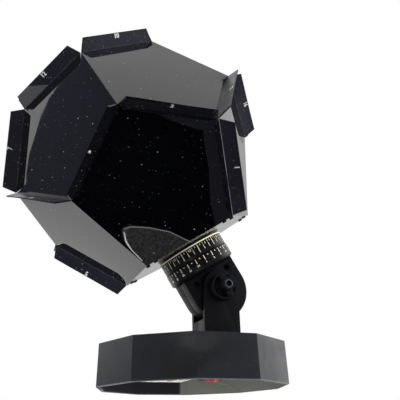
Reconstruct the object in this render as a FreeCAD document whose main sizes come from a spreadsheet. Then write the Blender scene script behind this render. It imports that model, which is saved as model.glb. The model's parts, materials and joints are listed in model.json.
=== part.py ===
import FreeCAD, Part
import math
import os
import re
import Sketcher

Vector = FreeCAD.Vector
document = FreeCAD.newDocument("planetarium_projector")
sheet = document.addObject("Spreadsheet::Sheet", "Sizes")

# Driving sizes, in millimetres and degrees.
SIZES = [
    # Hollow ten sided foot
    ("base_sides", 10),
    ("base_height", 25.0),
    ("base_top_inset", 0.9),
    ("base_wall", 2.0),
    ("base_roof", 2.2),
    ("base_center_x", 31.2),
    ("base_side_gap", 2.77),
    # Fork column that carries the tilting head
    ("column_offset", 17.5),
    ("column_width", 24.2),
    ("column_wall", 2.0),
    ("pivot_rise", 36.0),
    ("ear_thickness", 2.8),
    ("ear_gap", 0.3),
    ("web_thickness", 2.0),
    ("web_gap", 0.6),
    ("column_boss_radius", 2.9),
    ("column_boss_height", 7.0),
    ("foot_screw_x", 4.6),
    ("foot_screw_y", 5.5),
    ("join_screw_x", 9.4),
    ("join_screw_drop", 5.6),
    ("join_boss_radius", 2.3),
    ("lead_hole_radius", 2.4),
    # Common screws of the plastic pieces
    ("screw_radius", 1.0),
    ("screw_head_radius", 2.1),
    ("screw_head_height", 1.5),
    ("screw_grip", 6.0),
    ("screw_clearance", 0.2),
    ("thread_fit", 0.02),
    ("running_fit", 0.08),
    # Tilting head in two half shells
    ("tilt_rest_angle", 31.5),
    ("tilt_low_angle", 0.0),
    ("tilt_high_angle", 50.0),
    ("head_radius", 19.4),
    ("head_depth", 16.0),
    ("head_top", 15.2),
    ("head_wall", 2.0),
    ("head_boss_radius", 3.7),
    ("head_screw_x", 12.4),
    ("head_screw_z", 9.7),
    ("head_counterbore_depth", 3.0),
    ("slot_width", 4.4),
    ("slot_margin_angle", 8.0),
    ("trunnion_radius", 4.0),
    # Clamp knob, bolt, washer and nut on the tilt axis
    ("bolt_radius", 2.0),
    ("bolt_head_radius", 2.7),
    ("bolt_head_height", 2.0),
    ("bolt_socket_radius", 1.35),
    ("bolt_socket_depth", 1.3),
    ("nut_corner_radius", 4.04),
    ("nut_height", 3.2),
    ("nut_boss_radius", 6.0),
    ("washer_radius", 5.5),
    ("washer_height", 0.8),
    ("knob_gap", 0.2),
    ("knob_radius", 8.5),
    ("knob_height", 4.7),
    ("knob_dish_radius", 7.3),
    ("knob_dish_depth", 1.7),
    ("knob_hub_radius", 4.1),
    ("knob_hub_height", 11.2),
    ("knob_wing_length", 14.0),
    ("knob_wing_width", 4.2),
    ("knob_wing_height", 7.4),
    ("knob_rest_angle", 65.0),
    # Neck cup with the hour ring, and the date ring that turns on it
    ("cup_radius", 19.0),
    ("cup_wall", 3.5),
    ("cup_floor", 2.0),
    ("cup_flange_radius", 21.8),
    ("cup_flange_height", 0.6),
    ("ring_radius", 22.6),
    ("hour_ring_height", 8.0),
    ("date_ring_height", 7.4),
    ("date_ring_radius", 22.3),
    ("ring_gap", 0.3),
    ("keeper_radius", 20.3),
    ("keeper_height", 1.0),
    ("keeper_bore", 13.0),
    ("keeper_step", 1.6),
    ("keeper_screws", 3),
    ("keeper_screw_radius", 0.8),
    ("keeper_screw_head_radius", 1.6),
    ("keeper_screw_length", 6.0),
    ("gold_ring_radius", 22.8),
    ("gold_ring_height", 0.8),
    ("floor_disc_radius", 22.0),
    ("floor_disc_height", 1.2),
    ("floor_bore", 14.0),
    ("ring_pins", 5),
    ("ring_pin_radius", 0.55),
    ("ring_pin_head_radius", 1.4),
    ("ring_pin_head_height", 0.6),
    ("ring_pin_length", 5.0),
    # Lamp post, holder and bulb at the middle of the globe
    ("post_radius", 4.8),
    ("post_wall", 1.2),
    ("post_flange_radius", 10.6),
    ("post_flange_height", 1.6),
    ("post_screw_x", 6.0),
    ("post_screw_y", 4.5),
    ("post_boss_radius", 2.4),
    ("post_boss_height", 6.0),
    ("bulb_height", 18.0),
    ("bulb_radius", 5.6),
    ("bulb_wall", 0.5),
    ("bulb_neck_radius", 4.3),
    ("bulb_neck_grip", 2.5),
    ("cap_radius", 4.9),
    ("cap_height", 7.4),
    ("cap_wall", 0.4),
    ("cap_rim_radius", 5.4),
    ("cap_rim_height", 0.5),
    ("tip_radius", 1.7),
    ("tip_end_radius", 0.85),
    ("tip_height", 0.8),
    ("cap_insulator_radius", 2.55),
    ("cap_insulator_height", 0.6),
    ("socket_shell_wall", 0.45),
    ("socket_shell_height", 7.0),
    ("socket_shell_fit", 0.12),
    ("socket_shell_bore", 2.2),
    ("socket_wall", 1.5),
    ("socket_floor", 1.5),
    ("socket_sleeve", 6.0),
    ("socket_insulator_height", 0.8),
    ("contact_head_height", 0.6),
    ("contact_head_radius", 1.8),
    ("contact_stem_radius", 0.8),
    ("contact_stem_length", 2.0),
    ("bead_radius", 0.8),
    ("bead_length", 4.0),
    ("bead_drop", 4.6),
    ("support_radius", 0.2),
    ("support_spread", 1.2),
    ("filament_radius", 0.12),
    # Folded film globe, a regular dodecahedron
    ("film_edge_length", 60.0),
    ("film_thickness", 0.4),
    ("globe_twist_angle", 211.6),
    ("floor_height", 33.5),
    ("flap_height", 8.5),
    ("flap_recess", 4.5),
    ("flap_foot_inset", 5.0),
    ("flap_edge_inset", 0.5),
    ("flap_tip_inset", 3.5),
    ("floor_tab_width", 5.0),
    ("floor_tab_inset", 2.0),
    ("rivet_inset", 6.0),
    ("rivet_edge_distance", 2.6),
    ("rivet_radius", 0.7),
    ("rivet_head_radius", 1.4),
    ("rivet_head_height", 0.8),
    # Battery tray with three round cells
    ("cell_radius", 7.25),
    ("cell_length", 49.5),
    ("cell_nub_radius", 2.75),
    ("cell_nub_length", 1.0),
    ("cell_pitch", 15.0),
    ("cell_gap", 0.2),
    ("cell_seam", 0.5),
    ("tray_x", -20.3),
    ("tray_wall", 1.3),
    ("tray_roof", 1.2),
    ("tray_height", 16.0),
    ("tray_pad_height", 0.8),
    ("tray_pad_margin", 4.0),
    ("contact_thickness", 0.4),
    ("contact_width", 10.0),
    ("contact_height", 9.0),
    ("contact_tag_width", 2.5),
    ("contact_tag_length", 2.4),
    ("contact_tag_drop", 3.0),
    ("spring_length", 4.2),
    ("spring_wire_radius", 0.4),
    ("spring_foot_radius", 4.2),
    ("spring_tip_radius", 2.6),
    ("spring_quarter_turns", 10),
    # Slide switch in a rear wall
    ("switch_angle", -36.0),
    ("switch_height", 11.5),
    ("switch_plate_width", 5.4),
    ("switch_plate_thickness", 0.5),
    ("switch_case_length", 11.0),
    ("switch_case_depth", 4.5),
    ("switch_screw_spacing", 15.0),
    ("switch_screw_end", 2.25),
    ("switch_screw_radius", 0.95),
    ("switch_screw_head_radius", 1.8),
    ("switch_screw_head_height", 1.0),
    ("switch_tag_spacing", 2.5),
    ("switch_tag_width", 1.2),
    ("switch_tag_thickness", 0.4),
    ("switch_tag_length", 3.4),
    ("slider_length", 3.4),
    ("slider_width", 2.8),
    ("slider_reach", 2.2),
    ("slider_depth", 2.4),
    ("slider_travel", 2.6),
    ("slider_clearance", 0.3),
    # Insulated leads
    ("lead_radius", 0.7),
    ("lead_red_y", 2.6),
    ("lead_black_y", 0.9),
    ("lead_pivot_gap", 0.5),
    ("lead_side_gap", 0.2),
    ("cut_overrun", 1.0),
]

for row, (alias, value) in enumerate(SIZES, start=1):
    sheet.set("A%d" % row, alias)
    sheet.set("B%d" % row, str(value))
    sheet.setAlias("B%d" % row, alias)
document.recompute()

ALIASES = {alias for alias, value in SIZES}
DERIVED = {
    "pivot_height": "(base_height + pivot_rise)",
    "join_screw_z": "(pivot_height - head_radius - web_gap - join_screw_drop)",
}
pieces = []


def size(alias):
    """A size as a number."""
    return sheet_value(DERIVED[alias]) if alias in DERIVED else float(sheet.get(alias))


def add_size(alias, value):
    """One more size in the sheet, worked out from the driving sizes."""
    row = len(ALIASES) + 1
    sheet.set("A%d" % row, alias)
    sheet.set("B%d" % row, repr(value))
    sheet.setAlias("B%d" % row, alias)
    ALIASES.add(alias)
    document.recompute()


def with_names(text, spoken):
    """A formula with its derived names written out and each size name in it spoken another way."""
    def word_for(found):
        word = found.group()
        if word in DERIVED:
            return with_names(DERIVED[word], spoken)
        return spoken(word) if word in ALIASES else word

    return re.sub(r"[a-z_]+", word_for, text)


def formula(text):
    """A formula on the size names, as the sheet's cells."""
    return with_names(text, lambda alias: "Sizes." + alias)


def sheet_value(text):
    """The number that a formula on the size names gives."""
    words = with_names(text, lambda alias: repr(size(alias)))
    return float(FreeCAD.Units.Quantity(words).Value)


def bind(thing, **properties):
    """Bind each property of a thing to a formula; double underscores stand for dots."""
    for name, text in properties.items():
        thing.setExpression(name.replace("__", "."), formula(text))
    return thing


def at(thing, x, y, z):
    return bind(thing, Placement__Base__x=x, Placement__Base__y=y, Placement__Base__z=z)


def block(name, x, y, z):
    """A box between a low and a high formula on each axis."""
    box = document.addObject("Part::Box", name)
    bind(box, Length="(%s) - (%s)" % (x[1], x[0]), Width="(%s) - (%s)" % (y[1], y[0]),
         Height="(%s) - (%s)" % (z[1], z[0]))
    return at(box, x[0], y[0], z[0])


TURN_TO = {
    "x": FreeCAD.Rotation(Vector(0, 1, 0), 90),
    "y": FreeCAD.Rotation(Vector(1, 0, 0), -90),
    "z": FreeCAD.Rotation(),
}


def rod(name, radius, start, length, axis="z"):
    """A cylinder from a start point along one axis."""
    cylinder = document.addObject("Part::Cylinder", name)
    cylinder.Placement = FreeCAD.Placement(Vector(), TURN_TO[axis])
    bind(cylinder, Radius=radius, Height=length)
    return at(cylinder, *start)


def joined(name, *parts):
    fuse = document.addObject("Part::MultiFuse", name)
    fuse.Shapes = list(parts)
    fuse.Refine = True
    return fuse


def cut(name, body, *tools):
    """A body less its tools."""
    result = document.addObject("Part::Cut", name)
    result.Base = body
    result.Tool = tools[0] if len(tools) == 1 else joined(name + "_tools", *tools)
    return result


def grouped(name, *parts):
    compound = document.addObject("Part::Compound", name)
    compound.Links = list(parts)
    return compound


def turned(name, profile):
    """A body turned about the upright axis from corners given as radius and height formulas."""
    body = document.addObject("PartDesign::Body", name)
    sketch = body.newObject("Sketcher::SketchObject", name + "_profile")
    plane = [item for item in body.Origin.OriginFeatures if item.Role == "XZ_Plane"][0]
    sketch.AttachmentSupport = [(plane, "")]
    sketch.MapMode = "FlatFace"
    values = [[sheet_value(text) for text in corner] for corner in profile]
    count = len(profile)
    for index in range(count):
        here = values[index]
        there = values[(index + 1) % count]
        sketch.addGeometry(Part.LineSegment(Vector(here[0], here[1], 0), Vector(there[0], there[1], 0)),
                           False)
    for index in range(count):
        sketch.addConstraint(Sketcher.Constraint("Coincident", index, 2, (index + 1) % count, 1))
    for index, corner in enumerate(profile):
        for kind, text, axis in (("DistanceX", corner[0], -2), ("DistanceY", corner[1], -1)):
            if text == "0":
                sketch.addConstraint(Sketcher.Constraint("PointOnObject", index, 1, axis))
            else:
                value = sheet_value(text)
                number = sketch.addConstraint(Sketcher.Constraint(kind, -1, 1, index, 1, value))
                sketch.setExpression("Constraints[%d]" % number, formula(text))
    turn = body.newObject("PartDesign::Revolution", name + "_turn")
    turn.Profile = sketch
    turn.ReferenceAxis = (sketch, ["V_Axis"])
    turn.Angle = 360
    body.Tip = turn
    return body


RECESS_WIDTH_SHARE = 0.25
RECESS_DEPTH_SHARE = 0.5


def cross_screw(radius, head_radius, head_height, seat, direction, length):
    """A pan head screw with a cross recess: its head lies on the seat, its shank runs on from there."""
    way = Vector(*direction)
    head = Part.makeCylinder(head_radius, head_height, seat - way * head_height, way)
    shank = Part.makeCylinder(radius, length, seat, way)
    width = head_radius * RECESS_WIDTH_SHARE
    recess = Part.makeBox(head_radius, width, head_height, Vector(-head_radius / 2, -width / 2, 0))
    cross = recess.fuse(recess.rotated(Vector(), Vector(0, 0, 1), 90))
    recess_start = seat - way * (head_height * (2 - RECESS_DEPTH_SHARE))
    cross.Placement = FreeCAD.Placement(recess_start, FreeCAD.Rotation(Vector(0, 0, 1), way))
    return head.fuse(shank).cut(cross).removeSplitter()


def solid_feature(name, shapes):
    """A part made of one or more solids, from finished shapes."""
    feature = document.addObject("Part::Feature", name)
    feature.Shape = shapes[0] if len(shapes) == 1 else Part.makeCompound(shapes)
    return feature


COLUMN_X = "base_center_x + column_offset"
FRAMES = {
    "base": {"Placement__Base__x": "base_center_x"},
    "column": {"Placement__Base__x": COLUMN_X},
    "pivot": {"Placement__Base__x": COLUMN_X, "Placement__Base__z": "pivot_height"},
}
TILTED_FRAMES = {"neck": (Vector(0, -1, 0), "tilt_rest_angle"), "knob": (Vector(0, 1, 0), "knob_rest_angle")}


def finish(feature, label, frame=None):
    """Name a sub-part and set it in the frame that it was drawn in."""
    feature.Label = label
    if frame in TILTED_FRAMES:
        axis, angle = TILTED_FRAMES[frame]
        feature.Placement = FreeCAD.Placement(Vector(), FreeCAD.Rotation(axis, size(angle)))
        bind(feature, Placement__Rotation__Angle=angle, **FRAMES["pivot"])
    elif frame:
        bind(feature, **FRAMES[frame])
    pieces.append(feature)
    return feature


# Tray and foot sizes: the tray follows from its cells, and the foot's walls clear the tray's corners.
cell_fit = size("cell_radius") + size("cell_gap")
end_room = size("cell_length") + size("cell_nub_length") + size("spring_length")
tray_inner_length = end_room + 2 * size("contact_thickness")
tray_inner_width = 2 * (size("cell_pitch") + cell_fit)
tray_length = tray_inner_length + 2 * size("tray_wall")
tray_width = tray_inner_width + 2 * size("tray_wall")
corner_x = abs(size("tray_x")) + tray_width / 2
half_side = math.pi / size("base_sides")
wall_turns = [half_side * (2 * step + 1) for step in range(int(size("base_sides")))]
corner_reach = max(corner_x * math.cos(turn) + tray_length / 2 * math.sin(turn) for turn in wall_turns)
top_radius = (corner_reach + size("base_side_gap") + size("base_wall")) / math.cos(half_side)
add_size("base_top_radius", top_radius)
add_size("base_foot_radius", top_radius + size("base_top_inset"))


# Foot: a hollow ten sided shell, open below, that the column stands on.
def base_ring(name, radius, height):
    """One level of the ten sided foot."""
    ring = document.addObject("Part::RegularPolygon", name)
    bind(ring, Polygon="base_sides", Circumradius=radius)
    return at(ring, "0", "0", height)


def base_loft(name, low, high):
    loft = document.addObject("Part::Loft", name)
    loft.Sections = [low, high]
    loft.Solid = True
    loft.Ruled = True
    return loft


wall_across = "base_wall / cos(180 deg / base_sides)"
roof_height_share = "(base_height - base_roof) / base_height"
roof_radius = "base_foot_radius + (base_top_radius - base_foot_radius) * " + roof_height_share
outer_foot = base_loft("foot_outside", base_ring("foot_low", "base_foot_radius", "0"),
                       base_ring("foot_high", "base_top_radius", "base_height"))
inner_foot = base_loft("foot_inside", base_ring("foot_inner_low", "base_foot_radius - " + wall_across, "0"),
                       base_ring("foot_inner_high", roof_radius + " - " + wall_across,
                                 "base_height - base_roof"))

roof_under = "base_height - base_roof"
foot_tools = [inner_foot]
for side_x in ("-", "+"):
    for side_y in ("-", "+"):
        start = ("column_offset " + side_x + " foot_screw_x", "0 " + side_y + " foot_screw_y",
                 roof_under + " - cut_overrun")
        foot_tools.append(rod("foot_screw_hole", "screw_radius + screw_clearance", start,
                              "base_roof + 2 * cut_overrun"))
lead_middle = "(lead_red_y + lead_black_y) / 2"
foot_tools.append(rod("foot_lead_hole", "lead_hole_radius",
                      ("column_offset", lead_middle, roof_under + " - cut_overrun"),
                      "base_roof + 2 * cut_overrun"))


wall_slope = size("base_top_inset") * math.cos(half_side) / size("base_height")
wall_lean = math.atan(wall_slope)
low_seat = size("base_foot_radius") * math.cos(half_side) - size("base_wall")
switch_turn = FreeCAD.Rotation(Vector(0, 0, 1), size("switch_angle"))
switch_seat = Vector(0, low_seat - wall_slope * size("switch_height"), size("switch_height"))
lean_turn = FreeCAD.Rotation(Vector(1, 0, 0), math.degrees(wall_lean))
switch_place = FreeCAD.Placement(switch_turn.multVec(switch_seat), switch_turn.multiply(lean_turn))

overrun = size("cut_overrun")
slot_length = size("slider_length") + size("slider_travel") + 2 * size("slider_clearance")
slot_height = size("slider_width") + 2 * size("slider_clearance")
slot = Part.makeBox(slot_length, size("base_wall") + 2 * overrun, slot_height,
                    Vector(-slot_length / 2, -overrun, -slot_height / 2))
switch_cuts = [slot]
for side in (-1, 1):
    hole_start = Vector(side * size("switch_screw_spacing") / 2, -overrun, 0)
    switch_cuts.append(Part.makeCylinder(size("switch_screw_radius") + size("thread_fit"),
                                         size("base_wall") + 2 * overrun, hole_start, Vector(0, 1, 0)))
wall_openings = document.addObject("Part::Feature", "switch_openings")
wall_openings.Shape = Part.makeCompound(switch_cuts)
wall_openings.Placement = switch_place
foot_tools.append(wall_openings)
base_shell = finish(cut("base_body", outer_foot, *foot_tools), "base_shell", "base")

# Column: two half shells on the foot, each with an ear beside the tilt axis.
column_depth = "(head_depth / 2 + ear_gap + ear_thickness)"
web_top = "(pivot_height - head_radius - web_gap)"
pilot_radius = "screw_radius + thread_fit"


def column_half(label, side):
    """One half of the column: side is -1 in front and +1 behind."""
    sign = "-" if side < 0 else ""
    outer_face = sign + column_depth
    ear_inner = sign + "(head_depth / 2 + ear_gap)"
    ear_y = (outer_face, ear_inner) if side < 0 else (ear_inner, outer_face)
    half_y = (outer_face, "0") if side < 0 else ("0", outer_face)
    hollow_y = (ear_inner, "cut_overrun") if side < 0 else ("-cut_overrun", ear_inner)
    across = ("-column_width / 2", "column_width / 2")
    hollow_across = ("column_wall - column_width / 2", "column_width / 2 - column_wall")
    ear = block(label + "_ear", across, ear_y, ("base_height", "pivot_height"))
    ear_top = rod(label + "_ear_top", "column_width / 2", ("0", ear_y[0], "pivot_height"), "ear_thickness",
                  "y")
    stem = block(label + "_stem", across, half_y, ("base_height", web_top))
    hollow = block(label + "_hollow", hollow_across, hollow_y,
                   ("base_height - cut_overrun", web_top + " - web_thickness"))
    shell = cut(label + "_shell", joined(label + "_outside", ear, ear_top, stem), hollow)
    bosses = [shell]
    holes = []
    for way in ("-", "+"):
        foot_x = "0 " + way + " foot_screw_x"
        foot_y = "0 " + ("- " if side < 0 else "+ ") + "foot_screw_y"
        bosses.append(rod(label + "_foot_boss", "column_boss_radius", (foot_x, foot_y, "base_height"),
                          "column_boss_height"))
        holes.append(rod(label + "_foot_hole", pilot_radius, (foot_x, foot_y, "base_height - cut_overrun"),
                         "screw_grip + 2 * cut_overrun"))
        join_x = "0 " + way + " join_screw_x"
        bosses.append(rod(label + "_join_boss", "join_boss_radius", (join_x, half_y[0], "join_screw_z"),
                          column_depth, "y"))
        if side < 0:
            holes.append(rod(label + "_pilot", pilot_radius, (join_x, "-screw_grip", "join_screw_z"),
                             "screw_grip + cut_overrun", "y"))
        else:
            holes.append(rod(label + "_through", pilot_radius, (join_x, "-cut_overrun", "join_screw_z"),
                             column_depth + " + 2 * cut_overrun", "y"))
            holes.append(rod(label + "_sink", "screw_head_radius + thread_fit",
                             (join_x, outer_face + " - screw_head_height", "join_screw_z"),
                             "screw_head_height + cut_overrun", "y"))
    holes.append(rod(label + "_lead_hole", "lead_hole_radius",
                     ("0", lead_middle, web_top + " - web_thickness - cut_overrun"),
                     "web_thickness + 2 * cut_overrun"))
    pin_radius = "bolt_radius" if side < 0 else "trunnion_radius"
    holes.append(rod(label + "_axis_hole", pin_radius + " + running_fit",
                     ("0", ear_y[0] + " - cut_overrun", "pivot_height"), "ear_thickness + 2 * cut_overrun",
                     "y"))
    return finish(cut(label + "_body", joined(label + "_bossed", *bosses), *holes), label, "column")


column_half("column_front", -1)
column_half("column_back", 1)

center_x = size("base_center_x")
column_x = center_x + size("column_offset")
half_depth = size("head_depth") / 2 + size("ear_gap") + size("ear_thickness")
roof_z = size("base_height") - size("base_roof")

foot_screws = []
for way_x in (-1, 1):
    for way_y in (-1, 1):
        seat = Vector(column_x + way_x * size("foot_screw_x"), way_y * size("foot_screw_y"), roof_z)
        foot_screws.append(cross_screw(size("screw_radius"), size("screw_head_radius"),
                                      size("screw_head_height"), seat, (0, 0, 1),
                                       size("base_roof") + size("screw_grip")))
finish(solid_feature("foot_screw_set", foot_screws), "column_foot_screws")

join_screws = []
for way_x in (-1, 1):
    seat = Vector(column_x + way_x * size("join_screw_x"), half_depth - size("screw_head_height"),
                  size("join_screw_z"))
    reach = half_depth - size("screw_head_height") + size("screw_grip")
    join_screws.append(cross_screw(size("screw_radius"), size("screw_head_radius"),
                                  size("screw_head_height"), seat, (0, -1, 0), reach))
finish(solid_feature("join_screw_set", join_screws), "column_join_screws")

# Head: two half shells on the tilt axis, in the neck's frame.
head_inner = "(head_depth / 2 - head_wall)"


def half_round(name, radius, start_y, length):
    """The lower half of a cylinder on the tilt axis."""
    lower = rod(name, radius, ("0", start_y, "0"), length, "y")
    lower.Angle = 180
    return lower


def head_half(label, side):
    """One half shell of the head: side is -1 in front and +1 behind."""
    sign = "-" if side < 0 else ""
    outer_face = sign + "head_depth / 2"
    inner_face = sign + head_inner
    half_y = (outer_face, "0") if side < 0 else ("0", outer_face)
    hollow_y = (inner_face, "cut_overrun") if side < 0 else ("-cut_overrun", inner_face)
    hollow_start = inner_face if side < 0 else "-cut_overrun"
    outside = joined(label + "_outside",
                     half_round(label + "_round", "head_radius", half_y[0], "head_depth / 2"),
                     block(label + "_upper", ("-head_radius", "head_radius"), half_y, ("0", "head_top")))
    inside = joined(label + "_inside",
                    half_round(label + "_round_hollow", "head_radius - head_wall", hollow_start,
                               head_inner + " + cut_overrun"),
                    block(label + "_upper_hollow", ("head_wall - head_radius", "head_radius - head_wall"),
                          hollow_y,
                          ("0", "head_top - head_wall")))
    solids = [cut(label + "_shell", outside, inside)]
    holes = [rod(label + "_lead_hole", "post_radius - post_wall",
                 ("0", "0", "head_top - head_wall - cut_overrun"),
                 "head_wall + 2 * cut_overrun")]
    for way in ("-", "+"):
        middle = "0 " + way + " head_screw_x"
        solids.append(rod(label + "_boss", "head_boss_radius", (middle, half_y[0], "head_screw_z"),
                          "head_depth / 2", "y"))
        if side < 0:
            holes.append(rod(label + "_sink", "screw_head_radius + thread_fit",
                             (middle, outer_face + " - cut_overrun", "head_screw_z"),
                             "head_counterbore_depth + cut_overrun", "y"))
        holes.append(rod(label + "_screw_hole", pilot_radius,
                         (middle, outer_face if side < 0 else "-cut_overrun", "head_screw_z"),
                         "head_depth / 2 + cut_overrun" if side < 0 else "screw_grip + cut_overrun", "y"))
        post_y = sign + "post_screw_y"
        post_x = "0 " + way + " post_screw_x"
        solids.append(rod(label + "_post_boss", "post_boss_radius",
                          (post_x, post_y, "head_top - head_wall - post_boss_height"),
                          "post_boss_height"))
        holes.append(rod(label + "_post_hole", pilot_radius,
                         (post_x, post_y, "head_top - head_wall - post_boss_height"),
                         "post_boss_height + head_wall + cut_overrun"))
    if side < 0:
        solids.append(rod(label + "_nut_boss", "nut_boss_radius", ("0", inner_face, "0"), "nut_height", "y"))
        pocket = document.addObject("Part::Prism", label + "_nut_pocket")
        pocket.Placement = FreeCAD.Placement(Vector(), TURN_TO["y"])
        bind(pocket, Polygon="6", Circumradius="nut_corner_radius + thread_fit",
             Height="nut_height + cut_overrun")
        holes.append(at(pocket, "0", inner_face, "0"))
        holes.append(rod(label + "_bolt_hole", "bolt_radius + running_fit",
                         ("0", outer_face + " - cut_overrun", "0"),
                         "head_wall + 2 * cut_overrun", "y"))
    else:
        solids.append(rod(label + "_trunnion", "trunnion_radius", ("0", inner_face, "0"),
                          "head_wall + ear_gap + ear_thickness", "y"))
        slot = rod(label + "_lead_slot", "head_radius + cut_overrun", ("0", "0", "0"), "slot_width", "y")
        bind(slot, Angle="tilt_high_angle - tilt_low_angle + 2 * slot_margin_angle")
        turn = FreeCAD.Rotation(Vector(0, 1, 0), 90 + size("tilt_low_angle") - size("slot_margin_angle"))
        slot.Placement = FreeCAD.Placement(Vector(), turn.multiply(FreeCAD.Rotation(Vector(1, 0, 0), -90)))
        holes.append(slot)
    half = cut(label + "_body", joined(label + "_bossed", *solids), *holes)
    return finish(half, label, "neck")


head_half("head_front", -1)
head_half("head_back", 1)

head_face = size("head_depth") / 2
head_screws = []
for way_x in (-1, 1):
    seat = Vector(way_x * size("head_screw_x"), size("head_counterbore_depth") - head_face,
                  size("head_screw_z"))
    head_screws.append(cross_screw(size("screw_radius"), size("screw_head_radius"),
                                  size("screw_head_height"), seat, (0, 1, 0),
                                  head_face - size("head_counterbore_depth") + size("screw_grip")))
finish(solid_feature("head_screw_set", head_screws), "head_screws", "neck")

# Clamp: a nut kept in the front half shell, and a bolt with its round knob.
nut = document.addObject("Part::Prism", "nut_hex")
nut.Placement = FreeCAD.Placement(Vector(), TURN_TO["y"])
bind(nut, Polygon="6", Circumradius="nut_corner_radius", Height="nut_height")
at(nut, "0", "-" + head_inner, "0")
nut_bore = rod("nut_bore", "bolt_radius + running_fit", ("0", "-" + head_inner + " - cut_overrun", "0"),
               "nut_height + 2 * cut_overrun", "y")
finish(cut("nut_body", nut, nut_bore), "clamp_nut", "neck")

washer_face = "(head_depth / 2 + ear_gap + ear_thickness + washer_height)"
washer = rod("washer_disc", "washer_radius", ("0", "-" + washer_face, "pivot_height"), "washer_height", "y")
washer_bore = rod("washer_bore", "bolt_radius + running_fit",
                  ("0", "-" + washer_face + " - cut_overrun", "pivot_height"),
                  "washer_height + 2 * cut_overrun", "y")
finish(cut("washer_body", washer, washer_bore), "clamp_washer", "column")


knob_back = "-" + washer_face + " - knob_gap"


def knob_rod(name, radius, start, length):
    """A cylinder on the knob's axis, from a distance in front of the knob's back, towards the front."""
    return rod(name, radius, ("0", knob_back + " - (" + start + ") - (" + length + ")", "0"), length, "y")


wing = block("knob_wing", ("-knob_wing_length / 2", "knob_wing_length / 2"),
             (knob_back + " - knob_wing_height", knob_back), ("-knob_wing_width / 2", "knob_wing_width / 2"))
dish = cut("knob_disc", knob_rod("knob_flange", "knob_radius", "0", "knob_height"),
           knob_rod("knob_dish", "knob_dish_radius", "knob_height - knob_dish_depth",
                    "knob_dish_depth + cut_overrun"))
knob_solid = joined("knob_solid", dish, knob_rod("knob_hub", "knob_hub_radius", "0", "knob_hub_height"),
                    wing)
knob = cut("knob_body", knob_solid,
           knob_rod("knob_bore", "bolt_radius + thread_fit", "-cut_overrun",
                    "knob_hub_height + 2 * cut_overrun"),
           knob_rod("knob_seat", "bolt_head_radius + thread_fit", "knob_hub_height - bolt_head_height",
                    "bolt_head_height + cut_overrun"))
finish(knob, "clamp_knob", "knob")

bolt_head = knob_rod("bolt_head", "bolt_head_radius", "knob_hub_height - bolt_head_height",
                     "bolt_head_height")
bolt_reach = washer_face + " + knob_gap + knob_hub_height - bolt_head_height"
bolt_shank = rod("bolt_shank", "bolt_radius",
                 ("0", knob_back + " - knob_hub_height + bolt_head_height", "0"),
                 bolt_reach + " - " + head_inner + " + nut_height", "y")
socket_hole = document.addObject("Part::Prism", "bolt_socket")
socket_hole.Placement = FreeCAD.Placement(Vector(), TURN_TO["y"])
bind(socket_hole, Polygon="6", Circumradius="bolt_socket_radius", Height="bolt_socket_depth + cut_overrun")
at(socket_hole, "0", knob_back + " - knob_hub_height - cut_overrun", "0")
finish(cut("bolt_body", joined("bolt_solid", bolt_head, bolt_shank), socket_hole), "clamp_bolt", "pivot")

# Neck cup: a flanged cup on the head that carries the fixed hour ring.
date_ring_low = "(head_top + cup_flange_height + hour_ring_height + ring_gap)"
date_ring_high = "(" + date_ring_low + " + date_ring_height)"
cup_top = "(" + date_ring_high + " - keeper_step + ring_gap)"
cup_inside = "(cup_radius - cup_wall)"
lead_bore = "(post_radius - post_wall)"
neck_cup = turned("cup_turned", [
    (lead_bore, "head_top"), ("cup_flange_radius", "head_top"),
    ("cup_flange_radius", "head_top + cup_flange_height"), ("cup_radius", "head_top + cup_flange_height"),
    ("cup_radius", cup_top), (cup_inside, cup_top), (cup_inside, "head_top + cup_floor"),
    (lead_bore, "head_top + cup_floor")])
cup_holes = []
for way_x in ("-", "+"):
    for way_y in ("-", "+"):
        cup_holes.append(rod("cup_screw_hole", "screw_radius + screw_clearance",
                             ("0 " + way_x + " post_screw_x", "0 " + way_y + " post_screw_y",
                              "head_top - cut_overrun"),
                             "cup_floor + 2 * cut_overrun"))


def around(count, radius, first=0.0):
    """Points evenly round the neck's axis."""
    angles = [math.radians(first) + 2 * math.pi * step / count for step in range(count)]
    return [Vector(radius * math.cos(angle), radius * math.sin(angle), 0) for angle in angles]


cup_top_z = sheet_value(cup_top)
keeper_middle = size("cup_radius") - size("cup_wall") / 2
keeper_pilots = []
for point in around(int(size("keeper_screws")), keeper_middle):
    foot = point + Vector(0, 0, cup_top_z - size("keeper_screw_length"))
    keeper_pilots.append(Part.makeCylinder(size("keeper_screw_radius") + size("thread_fit"),
                                           size("keeper_screw_length") + overrun, foot))
cup_holes.append(solid_feature("keeper_pilot_holes", keeper_pilots))
finish(cut("cup_body", neck_cup, *cup_holes), "neck_cup", "neck")

hour_ring_low = "(head_top + cup_flange_height)"
hour_ring = turned("hour_ring_body", [
    ("cup_radius + thread_fit", hour_ring_low), ("ring_radius", hour_ring_low),
    ("ring_radius", hour_ring_low + " + hour_ring_height"),
    ("cup_radius + thread_fit", hour_ring_low + " + hour_ring_height")])
finish(hour_ring, "hour_ring", "neck")

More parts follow.
